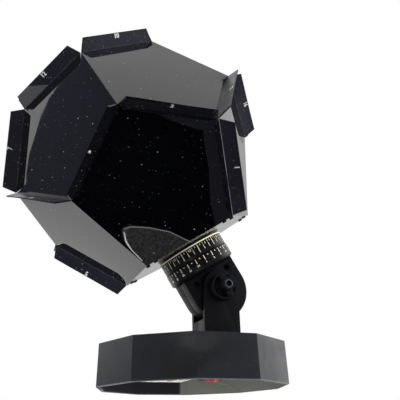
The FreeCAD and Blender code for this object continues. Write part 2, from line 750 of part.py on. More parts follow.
# Keeper: a flat ring screwed on the cup, which holds the turning date ring down.
keeper = turned("keeper_turned", [
    ("keeper_bore", cup_top), ("keeper_radius", cup_top),
    ("keeper_radius", cup_top + " + keeper_height"), ("keeper_bore", cup_top + " + keeper_height")])
keeper_sinks = []
keeper_screws = []
for point in around(int(size("keeper_screws")), keeper_middle):
    base_point = point + Vector(0, 0, cup_top_z)
    fit = size("thread_fit")
    keeper_sinks.append(Part.makeCone(size("keeper_screw_radius") + fit,
                                      size("keeper_screw_head_radius") + fit,
                                      size("keeper_height"), base_point))
    head = Part.makeCone(size("keeper_screw_radius"), size("keeper_screw_head_radius"),
                         size("keeper_height"),
                         base_point)
    shank = Part.makeCylinder(size("keeper_screw_radius"), size("keeper_screw_length"),
                              base_point - Vector(0, 0, size("keeper_screw_length")))
    keeper_screws.append(head.fuse(shank).removeSplitter())
finish(cut("keeper_body", keeper, solid_feature("keeper_sinks", keeper_sinks)), "neck_keeper_ring", "neck")
finish(solid_feature("keeper_screw_set", keeper_screws), "keeper_ring_screws", "neck")

# Date ring and what turns with it: gold edge ring, floor disc and their pins.
date_ring = turned("date_ring_turned", [
    ("cup_radius + running_fit", date_ring_low), ("date_ring_radius", date_ring_low),
    ("date_ring_radius", date_ring_high), ("keeper_radius + ring_gap", date_ring_high),
    ("keeper_radius + ring_gap", date_ring_high + " - keeper_step"),
    ("cup_radius + running_fit", date_ring_high + " - keeper_step")])
gold_high = date_ring_high + " + gold_ring_height"
gold_ring = turned("gold_ring_turned", [
    ("keeper_radius + ring_gap", date_ring_high), ("gold_ring_radius", date_ring_high),
    ("gold_ring_radius", gold_high), ("keeper_radius + ring_gap", gold_high)])
floor_disc = turned("floor_disc_turned", [
    ("floor_bore", gold_high), ("floor_disc_radius", gold_high),
    ("floor_disc_radius", gold_high + " + floor_disc_height"),
    ("floor_bore", gold_high + " + floor_disc_height")])
pin_circle = (size("keeper_radius") + size("ring_gap") + size("date_ring_radius")) / 2
pin_top = size("floor_height") + size("film_thickness")
pin_low = sheet_value(date_ring_high) - size("ring_pin_length")


def pin_shapes(extra):
    """The pins that hold the floor to the date ring, or their holes."""
    shapes = []
    for point in around(int(size("ring_pins")), pin_circle, size("globe_twist_angle")):
        shank = Part.makeCylinder(size("ring_pin_radius") + extra, pin_top - pin_low,
                                  point + Vector(0, 0, pin_low))
        if extra:
            shapes.append(shank)
        else:
            pin_head = Part.makeCylinder(size("ring_pin_head_radius"), size("ring_pin_head_height"),
                                         point + Vector(0, 0, pin_top))
            shapes.append(shank.fuse(pin_head).removeSplitter())
    return shapes


pin_holes = solid_feature("ring_pin_holes", pin_shapes(size("thread_fit")))
finish(cut("date_ring_body", date_ring, pin_holes), "date_ring", "neck")
finish(cut("gold_ring_body", gold_ring, pin_holes), "gold_edge_ring", "neck")
finish(cut("floor_disc_body", floor_disc, pin_holes), "globe_floor_disc", "neck")
finish(solid_feature("ring_pin_set", pin_shapes(0)), "date_ring_pins", "neck")

# Lamp: a hollow post with its flange on the cup, and the bulb in its holder at the globe's middle.
golden = (1 + math.sqrt(5)) / 2
face_distance_share = golden ** 2 / (2 * math.sqrt(3 - golden))
globe_middle = size("floor_height") + face_distance_share * size("film_edge_length")
add_size("globe_middle_height", globe_middle)

tip_low = "(globe_middle_height - bulb_height)"
cap_low = "(" + tip_low + " + tip_height + cap_insulator_height)"
cap_high = "(" + cap_low + " + cap_height)"
insulator_high = "(" + tip_low + " - contact_head_height)"
socket_floor_high = "(" + insulator_high + " - socket_insulator_height)"
socket_floor_low = "(" + socket_floor_high + " - socket_floor)"
socket_bore = "(cap_radius + socket_shell_fit + socket_shell_wall)"
socket_radius = "(" + socket_bore + " + socket_wall)"
shell_high = "(" + insulator_high + " + socket_shell_height)"

post_low = "(head_top + cup_floor)"
post = turned("post_turned", [
    (lead_bore, post_low), ("post_flange_radius", post_low),
    ("post_flange_radius", post_low + " + post_flange_height"),
    ("post_radius", post_low + " + post_flange_height"),
    ("post_radius", socket_floor_low), (lead_bore, socket_floor_low)])
post_holes = []
post_screws = []
post_seat = size("head_top") + size("cup_floor") + size("post_flange_height")
for way_x in (-1, 1):
    for way_y in (-1, 1):
        place = Vector(way_x * size("post_screw_x"), way_y * size("post_screw_y"), post_seat)
        reach = size("post_flange_height") + size("cup_floor") + size("head_wall") + size("post_boss_height")
        post_screws.append(cross_screw(size("screw_radius"), size("screw_head_radius"),
                                      size("screw_head_height"), place, (0, 0, -1), reach))
        post_holes.append(Part.makeCylinder(size("screw_radius") + size("screw_clearance"),
                                            size("post_flange_height") + 2 * overrun,
                                            place - Vector(0, 0, size("post_flange_height") + overrun)))
finish(cut("post_body", post, solid_feature("post_screw_holes", post_holes)), "lamp_post", "neck")
finish(solid_feature("post_screw_set", post_screws), "lamp_post_screws", "neck")

socket_lead_hole = "(post_radius - post_wall - thread_fit)"
finish(turned("socket_turned", [
    ("post_radius + thread_fit", socket_floor_low + " - socket_sleeve"),
    (socket_radius, socket_floor_low + " - socket_sleeve"),
    (socket_radius, shell_high), (socket_bore, shell_high), (socket_bore, socket_floor_high),
    (socket_lead_hole, socket_floor_high), (socket_lead_hole, socket_floor_low),
    ("post_radius + thread_fit", socket_floor_low)]), "lamp_holder", "neck")

socket_disc = turned("insulator_turned", [
    ("contact_stem_radius + thread_fit", socket_floor_high),
    (socket_bore + " - thread_fit", socket_floor_high),
    (socket_bore + " - thread_fit", insulator_high), ("contact_stem_radius + thread_fit", insulator_high)])
shell_lead_x = size("contact_head_radius") + size("lead_radius") + size("lead_side_gap")
insulator_low = sheet_value(socket_floor_high)
shell_lead_hole = Part.makeCylinder(size("lead_radius") + size("thread_fit"),
                                    size("socket_insulator_height") + 2 * overrun,
                                    Vector(shell_lead_x, 0, insulator_low - overrun))
finish(cut("insulator_body", socket_disc, solid_feature("insulator_hole", [shell_lead_hole])),
       "lamp_holder_insulator", "neck")

finish(turned("socket_shell_turned", [
    ("socket_shell_bore", insulator_high), (socket_bore + " - thread_fit", insulator_high),
    (socket_bore + " - thread_fit", shell_high), (socket_bore + " - socket_shell_wall", shell_high),
    (socket_bore + " - socket_shell_wall", insulator_high + " + socket_shell_wall"),
    ("socket_shell_bore", insulator_high + " + socket_shell_wall")]), "lamp_holder_shell", "neck")
finish(turned("contact_turned", [
    ("0", insulator_high + " - contact_stem_length"),
    ("contact_stem_radius", insulator_high + " - contact_stem_length"),
    ("contact_stem_radius", insulator_high), ("contact_head_radius", insulator_high),
    ("contact_head_radius", tip_low), ("0", tip_low)]), "lamp_holder_contact", "neck")

# Bulb: solder tip, black insulator, metal cap, clear glass, and a bead that holds two wires and a filament.
finish(turned("tip_turned", [
    ("0", tip_low), ("tip_end_radius", tip_low), ("tip_radius", tip_low + " + tip_height"),
    ("0", tip_low + " + tip_height")]), "bulb_tip", "neck")
finish(turned("cap_insulator_turned", [
    ("0", tip_low + " + tip_height"), ("cap_insulator_radius", tip_low + " + tip_height"),
    ("cap_radius - cap_wall", cap_low), ("0", cap_low)]), "bulb_insulator", "neck")
finish(turned("cap_turned", [
    ("0", cap_low), ("cap_radius", cap_low), ("cap_radius", cap_high + " - cap_rim_height"),
    ("cap_rim_radius", cap_high + " - cap_rim_height"), ("cap_rim_radius", cap_high),
    ("cap_radius - cap_wall", cap_high), ("cap_radius - cap_wall", cap_low + " + cap_wall"),
    ("0", cap_low + " + cap_wall")]), "bulb_cap", "neck")


def glass_form(radius_less, name):
    """The outside of the glass, or its hollow."""
    ball = document.addObject("Part::Sphere", name + "_ball")
    at(bind(ball, Radius="bulb_radius" + radius_less), "0", "0", "globe_middle_height")
    neck = rod(name + "_neck", "bulb_neck_radius" + radius_less, ("0", "0", cap_high + " - bulb_neck_grip"),
               "globe_middle_height - " + cap_high + " + bulb_neck_grip")
    return ball, neck


outer_ball, outer_neck = glass_form("", "glass")
inner_ball, inner_neck = glass_form(" - bulb_wall", "glass_hollow")
glass = cut("glass_body", joined("glass_outside", outer_ball, outer_neck),
            joined("glass_inside", inner_ball, inner_neck))
finish(glass, "bulb_glass", "neck")

bead_z = "(globe_middle_height - bead_drop)"
bead = rod("bead_bar", "bead_radius", ("-bead_length / 2", "0", bead_z), "bead_length", "x")
support_low = "(" + cap_low + " + cap_wall)"
support_length = "globe_middle_height + filament_radius - " + support_low
bead_holes = []
supports = []
for way in ("-", "+"):
    place = "0 " + way + " support_spread"
    bead_holes.append(rod("bead_hole", "support_radius + thread_fit",
                          (place, "0", bead_z + " - 2 * bead_radius"), "4 * bead_radius"))
    supports.append(rod("support_wire", "support_radius", (place, "0", support_low), support_length))
finish(cut("bead_body", bead, *bead_holes), "bulb_bead", "neck")
finish(grouped("support_wires", *supports), "bulb_support_wires", "neck")
finish(rod("filament_wire", "filament_radius",
           ("support_radius - support_spread", "0", "globe_middle_height"),
           "2 * (support_spread - support_radius)", "x"), "bulb_filament", "neck")

# Film globe: twelve five sided faces of one dodecahedron, in four folded sheets and a floor.
edge = size("film_edge_length")
film = size("film_thickness")
face_distance = face_distance_share * edge
face_radius = edge / (2 * math.sin(math.pi / 5))
waist_radius = face_radius * golden
waist_height = math.sqrt((golden * math.sqrt(3) / 2 * edge) ** 2 - waist_radius ** 2)
fifth = 2 * math.pi / 5


def corner(ring, step):
    """A corner of the globe: ring is floor, low, high or top."""
    radius = face_radius if ring in ("floor", "top") else waist_radius
    height = {"floor": -face_distance, "low": -waist_height, "high": waist_height,
              "top": face_distance}[ring]
    turn = fifth * step + (fifth / 2 if ring in ("high", "top") else 0)
    return Vector(radius * math.cos(turn), radius * math.sin(turn), height)


FACES = {"floor": [corner("floor", step) for step in range(5)],
         "top": [corner("top", step) for step in range(5)]}
for step in range(5):
    FACES["lower%d" % step] = [corner("floor", step), corner("floor", step + 1), corner("low", step + 1),
                               corner("high", step), corner("low", step)]
    FACES["upper%d" % step] = [corner("top", step), corner("top", step + 1), corner("high", step + 1),
                               corner("low", step + 1), corner("high", step)]

SHEETS = {
    "film_sheet_front": ["lower0", "lower4", "upper3"],
    "film_sheet_left": ["upper0", "upper4", "upper1"],
    "film_sheet_rear": ["lower1", "lower2", "lower3"],
    "film_sheet_top": ["top", "upper2"],
    "film_floor": ["floor"],
}
inside_share = (face_distance - film) / face_distance
PANEL_FLAT_SHARE = 0.5
sheet_of = {name: label for label, names in SHEETS.items() for name in names}


def plate(low_points, high_points):
    """A solid between two polygons with as many corners each."""
    low_wire = Part.makePolygon(low_points + low_points[:1])
    high_wire = Part.makePolygon(high_points + high_points[:1])
    return Part.makeLoft([low_wire, high_wire], True, True)


def face_center(name):
    return sum(FACES[name], Vector()) * (1 / len(FACES[name]))


def shared_edge(first, second):
    """The two corners that two faces share, or nothing."""
    both = [point for point in FACES[first] if any((point - other).Length < film for other in FACES[second])]
    return both if len(both) == 2 else None


def glued(first, second):
    """Whether two faces meet at a glued seam, not at a fold or at the floor's rivets."""
    return sheet_of[first] != sheet_of[second] and "floor" not in (first, second)


def seam_foot(start, end):
    """The ends of the line, sunk below an edge, along which two panels meet at a glued seam."""
    along = (end - start).normalize()
    sunk = Vector(start + end).normalize() * size("flap_recess")
    inset = along * size("flap_foot_inset")
    return start + inset - sunk, end - inset - sunk


def facets(name):
    """The flat facets of a panel: a middle, and slopes from it to each edge or sunk seam line."""
    corners = FACES[name]
    middle = face_center(name)
    flat = [middle + (point - middle) * PANEL_FLAT_SHARE for point in corners]
    neighbours = [(other, shared_edge(name, other)) for other in FACES if other != name]
    made = [flat]
    for index, start in enumerate(corners):
        follow = (index + 1) % len(corners)
        end = corners[follow]
        other = [face for face, ends in neighbours if ends and start in ends and end in ends][0]
        if glued(name, other):
            first, last = seam_foot(start, end)
            made += [[start, first, flat[index]], [first, last, flat[follow], flat[index]],
                     [last, end, flat[follow]]]
        else:
            made.append([start, end, flat[follow], flat[index]])
    return made


def folded_sheet(names):
    """One sheet of panels joined along its folds, as a closed solid of the film's thickness."""
    outside = [facet for name in names for facet in facets(name)]
    uses = {}
    for facet in outside:
        for start, end in zip(facet, facet[1:] + facet[:1]):
            key = frozenset(tuple(round(part / film) for part in point) for point in (start, end))
            uses.setdefault(key, []).append((start, end))
    rims = [ends[0] for ends in uses.values() if len(ends) == 1]
    walls = [[start, end, end * inside_share, start * inside_share] for start, end in rims]
    inside = [[point * inside_share for point in facet] for facet in outside]
    skin = Part.Shell([Part.Face(Part.makePolygon(facet + facet[:1])) for facet in outside + inside + walls])
    skin.sewShape()
    solid = Part.makeSolid(skin)
    if solid.Volume < 0:
        solid.reverse()
    return solid


def flap(name, edge_ends):
    """The glued six sided flap of one face at one seam, from the sunk line outwards."""
    start, end = edge_ends
    along = (end - start).normalize()
    middle = (start + end) * 0.5
    outward = Vector(middle).normalize()
    inward_side = face_center(name) - middle
    side = (inward_side - outward * inward_side.dot(outward)).normalize()
    first, last = [point * inside_share for point in seam_foot(start, end)]
    corners = [first, last, end - along * size("flap_edge_inset"),
               end - along * size("flap_tip_inset") + outward * size("flap_height"),
               start + along * size("flap_tip_inset") + outward * size("flap_height"),
               start + along * size("flap_edge_inset")]
    return plate(corners, [point + side * film for point in corners])


def floor_tab(name, edge_ends):
    """The tab of one lower face that lies inside on the floor."""
    start, end = [point * inside_share for point in edge_ends]
    along = (end - start).normalize()
    to_middle = Vector(-(start.x + end.x), -(start.y + end.y), 0).normalize()
    wall_way = face_center(name) * inside_share - (start + end) * 0.5
    wall_step = wall_way * (film / wall_way.z)
    inset = along * size("floor_tab_inset")
    outer = [start + inset, end - inset]
    inner = [end - inset * 2 + to_middle * size("floor_tab_width"),
             start + inset * 2 + to_middle * size("floor_tab_width")]
    up = Vector(0, 0, film)
    return plate(outer + inner, [point + wall_step for point in outer] + [point + up for point in inner])


rivet_shanks = []
rivets = []
for step in range(5):
    start, end = FACES["floor"][step], FACES["floor"][(step + 1) % 5]
    along = (end - start).normalize()
    to_middle = Vector(-(start.x + end.x), -(start.y + end.y), 0).normalize()
    for point in (start + along * size("rivet_inset"), end - along * size("rivet_inset")):
        place = point + to_middle * size("rivet_edge_distance")
        grip = 2 * film
        rivet_shanks.append(Part.makeCylinder(size("rivet_radius") + size("thread_fit"), grip + 2 * overrun,
                                              place - Vector(0, 0, overrun)))
        shank = Part.makeCylinder(size("rivet_radius"), grip, place)
        low_head = Part.makeCylinder(size("rivet_head_radius"), size("rivet_head_height"),
                                     place - Vector(0, 0, size("rivet_head_height")))
        high_head = Part.makeCylinder(size("rivet_head_radius"), size("rivet_head_height"),
                                      place + Vector(0, 0, grip))
        rivets.append(shank.fuse([low_head, high_head]).removeSplitter())

globe_place = FreeCAD.Placement(Vector(0, 0, globe_middle),
                                FreeCAD.Rotation(Vector(0, 0, 1), size("globe_twist_angle")))
film_holes = {"film_floor": rivet_shanks + [Part.makeCylinder(size("floor_bore"), 2 * film + 2 * overrun,
                                                              Vector(0, 0, -face_distance - overrun))]}
for label, names in SHEETS.items():
    plates = [folded_sheet(names)]
    tabs = 0
    for name in names:
        for other in FACES:
            ends = shared_edge(name, other) if other != name else None
            if not ends or name == "floor":
                continue
            if other == "floor":
                plates.append(floor_tab(name, ends))
                tabs += 1
            elif glued(name, other):
                plates.append(flap(name, ends))
    film_shape = plates[0].fuse(plates[1:]).removeSplitter() if len(plates) > 1 else plates[0]
    if tabs:
        film_shape = film_shape.cut(rivet_shanks)
    if label in film_holes:
        film_shape = film_shape.cut(film_holes[label])
    film_shape.Placement = globe_place
    if label == "film_floor":
        film_shape = film_shape.cut(pin_shapes(size("thread_fit")))
    finish(solid_feature(label + "_folded", [Part.makeCompound(film_shape.Solids)]), label, "neck")
rivet_group = Part.makeCompound(rivets)
rivet_group.Placement = globe_place
finish(solid_feature("rivet_set", [Part.makeCompound([rivet_group])]), "film_rivets", "neck")

# Battery tray: an open tray under the foot's roof, with a foam pad, three cells and their contacts.
tray_top = roof_z - size("tray_pad_height")
cell_z = tray_top - size("tray_roof") - cell_fit
tray_low = tray_top - size("tray_height")
tray_center = center_x + size("tray_x")
cell_places = [(tray_center + size("cell_pitch"), 1), (tray_center, -1),
               (tray_center - size("cell_pitch"), 1)]
tag_z = cell_z - size("contact_tag_drop")
tag_long = size("tray_wall") + size("contact_tag_length")


def centered_box(length, width, height, x, y, z):
    """A box with its middle at x and y and its underside at z."""
    return Part.makeBox(length, width, height, Vector(x - length / 2, y - width / 2, z))


def tag_box(x, way, fit):
    """A solder tag through the tray's end wall, or the slot that it goes through."""
    low_y = tray_inner_length / 2 - size("contact_thickness")
    high_y = tray_inner_length / 2 + tag_long
    tag = Part.makeBox(size("contact_tag_width") + 2 * fit, high_y - low_y,
                       size("contact_thickness") + 2 * fit,
                       Vector(x - size("contact_tag_width") / 2 - fit, low_y, tag_z - fit))
    return tag if way > 0 else tag.mirror(Vector(), Vector(0, 1, 0))


tray = centered_box(tray_width, tray_length, size("tray_height"), tray_center, 0, tray_low)
tray_cuts = [centered_box(tray_inner_width, tray_inner_length, cell_z - tray_low + overrun, tray_center, 0,
                          tray_low - overrun)]
for cell_x, way in cell_places:
    tray_cuts.append(Part.makeCylinder(cell_fit, tray_inner_length,
                                       Vector(cell_x, -tray_inner_length / 2, cell_z),
                                       Vector(0, 1, 0)))
tray_cuts += [tag_box(cell_places[0][0], 1, size("thread_fit")),
              tag_box(cell_places[2][0], -1, size("thread_fit"))]
rib_length = tray_inner_length / 2 - size("contact_thickness") - size("thread_fit")
for way in (-1, 1):
    rib_y = way * (rib_length + tray_inner_length / 2) / 2
    tray_cuts.append(centered_box(2 * size("cell_pitch"), tray_inner_length / 2 - rib_length,
                                  size("contact_height") / 2 + size("thread_fit"), tray_center, rib_y,
                                  cell_z))
finish(solid_feature("tray", [tray.cut(tray_cuts).removeSplitter()]), "battery_tray")
pad_less = 2 * size("tray_pad_margin")
finish(solid_feature("tray_pad",
                     [centered_box(tray_width - pad_less, tray_length - pad_less, size("tray_pad_height"),
                                               tray_center, 0, tray_top)]), "battery_tray_pad")

for number, (cell_x, way) in enumerate(cell_places, start=1):
    nub_end = "cell_length + cell_nub_length"
    cell = turned("cell_%d_turned" % number, [
        ("0", "0"), ("cell_radius - cell_seam", "0"), ("cell_radius", "cell_seam"),
        ("cell_radius", "cell_length - cell_seam"), ("cell_radius - cell_seam", "cell_length"),
        ("cell_nub_radius", "cell_length"), ("cell_nub_radius", nub_end), ("0", nub_end)])
    start_y = way * (tray_inner_length / 2 - size("contact_thickness") - size("cell_length")
                     - size("cell_nub_length"))
    cell.Placement = FreeCAD.Placement(Vector(cell_x, start_y, cell_z),
                                       FreeCAD.Rotation(Vector(1, 0, 0), -90 * way))
    finish(cell, "battery_cell_%d" % number)

contact_low = cell_z - size("contact_height") / 2
contact_y = tray_inner_length / 2 - size("contact_thickness") / 2
contacts = []
for cell_x, way in (cell_places[0], (cell_places[2][0], -1)):
    single = centered_box(size("contact_width"), size("contact_thickness"), size("contact_height"), cell_x,
                          way * contact_y, contact_low)
    contacts.append(single.fuse(tag_box(cell_x, way, 0)).removeSplitter())
for cell_x, way in ((tray_center + size("cell_pitch") / 2, -1), (tray_center - size("cell_pitch") / 2, 1)):
    contacts.append(centered_box(size("contact_width") + size("cell_pitch"), size("contact_thickness"),
                                 size("contact_height"), cell_x, way * contact_y, contact_low))
finish(solid_feature("contact_set", contacts), "battery_contacts")


def spring_point(share, along_y, way, x):
    """A point of a narrowing spring, and the spring's direction there."""
    turns = size("spring_quarter_turns") / 4
    angle = 2 * math.pi * turns * share
    travel = size("spring_length") - 2 * size("spring_wire_radius")
    radius = size("spring_foot_radius") + (size("spring_tip_radius") - size("spring_foot_radius")) * share
    narrowing = size("spring_tip_radius") - size("spring_foot_radius")
    point = Vector(x + radius * math.cos(angle), along_y + way * travel * share,
                   cell_z + radius * math.sin(angle))
    speed = 2 * math.pi * turns * radius
    course = Vector(narrowing * math.cos(angle) - speed * math.sin(angle), way * travel,
                    narrowing * math.sin(angle) + speed * math.cos(angle))
    return point, course.normalize()


def two_arcs(first, first_way, last, last_way):
    """Two arcs that meet smoothly between two points with given directions."""
    chord = last - first
    both = first_way + last_way
    square = 2 * (1 - first_way.dot(last_way))
    reach = (-chord.dot(both) + math.sqrt(chord.dot(both) ** 2 + square * chord.dot(chord))) / square
    meet = (first + last + (first_way - last_way) * reach) * 0.5
    arcs = []
    for start, way in ((first, first_way), (last, last_way * -1)):
        line = meet - start
        across = line.cross(way).cross(line).normalize()
        bend = math.acos(max(-1.0, min(1.0, line.dot(way) / line.Length)))
        arcs.append((start, (start + meet) * 0.5 + across * (line.Length / 2 * math.tan(bend / 2)), meet))
    return [Part.Arc(*arcs[0]).toShape(), Part.Arc(*reversed(arcs[1])).toShape()]


def pipe(edges, radius):
    """A round wire or lead along joined edges."""
    path = Part.Wire(edges)
    first = edges[0]
    course = first.tangentAt(first.FirstParameter)
    ring = Part.Wire(Part.Circle(first.valueAt(first.FirstParameter), course, radius).toShape())
    return path.makePipeShell([ring], True, False)


springs = []
for cell_x, way in cell_places:
    foot_y = -way * (tray_inner_length / 2 - size("contact_thickness") - size("spring_wire_radius"))
    steps = int(size("spring_quarter_turns"))
    places = [spring_point(step / steps, foot_y, way, cell_x) for step in range(steps + 1)]
    spring_edges = []
    for (here, here_way), (there, there_way) in zip(places, places[1:]):
        spring_edges += two_arcs(here, here_way, there, there_way)
    springs.append(pipe(spring_edges, size("spring_wire_radius")))
spring_rise = (size("spring_length") - 2 * size("spring_wire_radius")) * 4 / size("spring_quarter_turns")
print("spring gap between turns", round(spring_rise - 2 * size("spring_wire_radius"), 2))
finish(solid_feature("spring_set", springs), "battery_springs")

# Slide switch: a plated case behind the rear wall, its slider, two screws and three tags.
plate_back = -size("switch_plate_thickness")
case_back = plate_back - size("switch_case_depth")
plate_length = size("switch_screw_spacing") + 2 * size("switch_screw_end")
switch_plate = centered_box(plate_length, size("switch_plate_thickness"), size("switch_plate_width"),
                            0, plate_back / 2, -size("switch_plate_width") / 2)
switch_case = centered_box(size("switch_case_length"), size("switch_case_depth"), size("switch_plate_width"),
                           0, (plate_back + case_back) / 2, -size("switch_plate_width") / 2)
well_depth = size("slider_depth") + size("slider_clearance")
case_cuts = [Part.makeBox(slot_length, well_depth + overrun, slot_height,
                          Vector(-slot_length / 2, -well_depth, -slot_height / 2))]
for side in (-1, 1):
    hole_start = Vector(side * size("switch_screw_spacing") / 2, plate_back - overrun, 0)
    case_cuts.append(Part.makeCylinder(size("switch_screw_radius") + size("thread_fit"),
                                       size("switch_plate_thickness") + 2 * overrun, hole_start,
                                       Vector(0, 1, 0)))
case_shape = switch_plate.fuse(switch_case).cut(case_cuts).removeSplitter()


def on_switch(label, shapes):
    """A piece of the switch, from shapes about the switch's own middle."""
    feature = solid_feature(label + "_form", shapes)
    place = FreeCAD.Placement(Vector(center_x, 0, 0), FreeCAD.Rotation()).multiply(switch_place)
    feature.Placement = place
    return finish(feature, label)


on_switch("power_switch_case", [case_shape])
slider_x = -size("slider_travel") / 2
slider_foot = centered_box(size("slider_length"), size("slider_depth"), size("slider_width"),
                           slider_x, -size("slider_depth") / 2, -size("slider_width") / 2)
slider_high = size("base_wall") + size("slider_reach")
slider_shank = centered_box(size("slider_length"), slider_high, size("slider_width"),
                            slider_x, slider_high / 2, -size("slider_width") / 2)
on_switch("power_slider", [slider_foot.fuse(slider_shank).removeSplitter()])
screw_seat = size("base_wall") * math.cos(wall_lean)
switch_screws = []
for side in (-1, 1):
    seat = Vector(side * size("switch_screw_spacing") / 2, screw_seat, 0)
    switch_screws.append(cross_screw(size("switch_screw_radius"), size("switch_screw_head_radius"),
                                    size("switch_screw_head_height"), seat, (0, -1, 0),
                                    screw_seat - plate_back + overrun))
on_switch("power_switch_screws", switch_screws)
switch_tags = []
for step in (-1, 0, 1):
    tag_x = step * size("switch_tag_spacing")
    switch_tags.append(centered_box(size("switch_tag_width"), size("switch_tag_length"),
                                    size("switch_tag_thickness"),
                                    tag_x, case_back - size("switch_tag_length") / 2,
                                    -size("switch_tag_thickness") / 2))
on_switch("power_switch_tags", switch_tags)

# Insulated leads: each route is a list of points chosen by hand in the foot, in the column or up the post.
ARC_SHARE = 0.45


def lead(label, points, frame=None):
    """A lead along straight runs with the widest arc that each pair of runs allows."""
    corners = [Vector(*point) for point in points]
    edges = []
    here = corners[0]
    radii = []
    for before, bend_point, after in zip(corners, corners[1:], corners[2:]):
        run_in = before - bend_point
        run_out = after - bend_point
        turn = math.pi - run_in.getAngle(run_out)
        reach = min(run_in.Length, run_out.Length) * ARC_SHARE
        radius = reach / math.tan(turn / 2)
        radii.append(round(radius, 1))
        run_in.normalize()
        run_out.normalize()
        start = bend_point + run_in * reach
        end = bend_point + run_out * reach
        inward = (run_in + run_out).normalize()
        arc_middle = bend_point + inward * (radius / math.cos(turn / 2) - radius)
        edges.append(Part.LineSegment(here, start).toShape())
        edges.append(Part.Arc(start, arc_middle, end).toShape())
        here = end
    edges.append(Part.LineSegment(here, corners[-1]).toShape())
    tube = pipe(edges, size("lead_radius"))
    length = sum(part.Length for part in edges)
    section = math.pi * size("lead_radius") ** 2
    volume_share = tube.Volume / (section * length)
    print(label, "radii", radii, "length", round(length, 1), "volume share", round(volume_share, 4))
    return finish(solid_feature(label + "_tube", [tube]), label, frame)


tag_end = switch_place.multVec(Vector(-size("switch_tag_spacing"), case_back - size("switch_tag_length"), 0))
tag_middle = switch_place.multVec(Vector(0, case_back - size("switch_tag_length"), 0))
tag_way = switch_place.Rotation.multVec(Vector(0, -1, 0))
tray_tag_y = tray_inner_length / 2 + tag_long
column_foot_z = size("pivot_height") - size("lead_pivot_gap")

supply_start = Vector(cell_places[0][0], tray_tag_y, tag_z + size("contact_thickness") / 2)
supply_end = Vector(tag_end.x + center_x, tag_end.y, tag_end.z)
supply_points = [supply_start, supply_start + Vector(0, 4.5, 0), supply_start + Vector(5.0, 8.6, -2.0),
                 supply_start + Vector(10.8, 9.2, -1.6), supply_end + tag_way * 6.5, supply_end]
lead("supply_lead", supply_points)

red_start = Vector(tag_middle.x + center_x, tag_middle.y, tag_middle.z)
red_y = size("lead_red_y")
red_points = [red_start, red_start + tag_way * 6.0 + Vector(0, 0, -0.8),
              red_start + tag_way * 13.0 + Vector(0.6, 0, -3.4),
              Vector(column_x + 6.4, 19.0, 6.2), Vector(column_x + 3.6, 11.6, 5.6),
              Vector(column_x + 1.2, 5.0, 8.2),
              Vector(column_x, red_y + 0.4, 14.6), Vector(column_x, red_y, 24.0),
              Vector(column_x, red_y + 0.02, 42.0), Vector(column_x, red_y, column_foot_z)]
lead("switch_lead", red_points)

black_y = size("lead_black_y")
black_start = Vector(cell_places[2][0], -tray_tag_y, tag_z + size("contact_thickness") / 2)
black_points = [black_start, black_start + Vector(0, -4.6, 0), black_start + Vector(7.6, -7.4, -2.2),
                black_start + Vector(17.0, -8.0, -3.0), black_start + Vector(28.0, -6.6, -2.6),
                Vector(tray_center + 27.5, -29.0, 7.4), Vector(column_x - 8.4, -18.5, 6.4),
                Vector(column_x - 4.2, -9.4, 6.0), Vector(column_x - 0.6, -2.6, 9.4),
                Vector(column_x, black_y - 0.6, 15.6), Vector(column_x, black_y, 25.0),
                Vector(column_x, black_y + 0.02, 43.0), Vector(column_x, black_y, column_foot_z)]
lead("return_lead", black_points)

black_end = sheet_value(insulator_high)
red_end = black_end - size("contact_stem_length")
lead("lamp_lead_red", [Vector(0, red_y, size("lead_pivot_gap")), Vector(0, red_y, 18.0),
                       Vector(0.3, red_y - 0.2, red_end - 39.7), Vector(-0.6, red_y - 1.0, red_end - 21.7),
                       Vector(-0.2, 0.3, red_end - 9.7), Vector(0, 0, red_end - 3.7),
                       Vector(0, 0, red_end)], "neck")
lead("lamp_lead_black", [Vector(0, black_y, size("lead_pivot_gap")), Vector(0, black_y, 18.0),
                         Vector(0.9, black_y - 1.3, black_end - 41.7),
                         Vector(1.9, black_y - 1.7, black_end - 23.7),
                         Vector(shell_lead_x - 0.3, -0.5, black_end - 11.7),
                         Vector(shell_lead_x, 0, black_end - 4.7),
                         Vector(shell_lead_x, 0, black_end)], "neck")

# Every feature has to be sound before its file is written.
document.recompute()
unsound = [item.Name for item in document.Objects if "Invalid" in item.State or "Error" in item.State]
unsound += [piece.Label for piece in pieces if piece.Shape.isNull() or not piece.Shape.isValid()]
if unsound:
    raise RuntimeError("these are not sound: " + ", ".join(unsound))
os.makedirs("parts", exist_ok=True)
for piece in pieces:
    piece.Shape.exportStep("parts/%s.step" % piece.Label)
print(len(pieces), "sub-parts written")
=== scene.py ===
import json
import math

import bmesh
import bpy
from mathutils import Matrix, Vector, noise

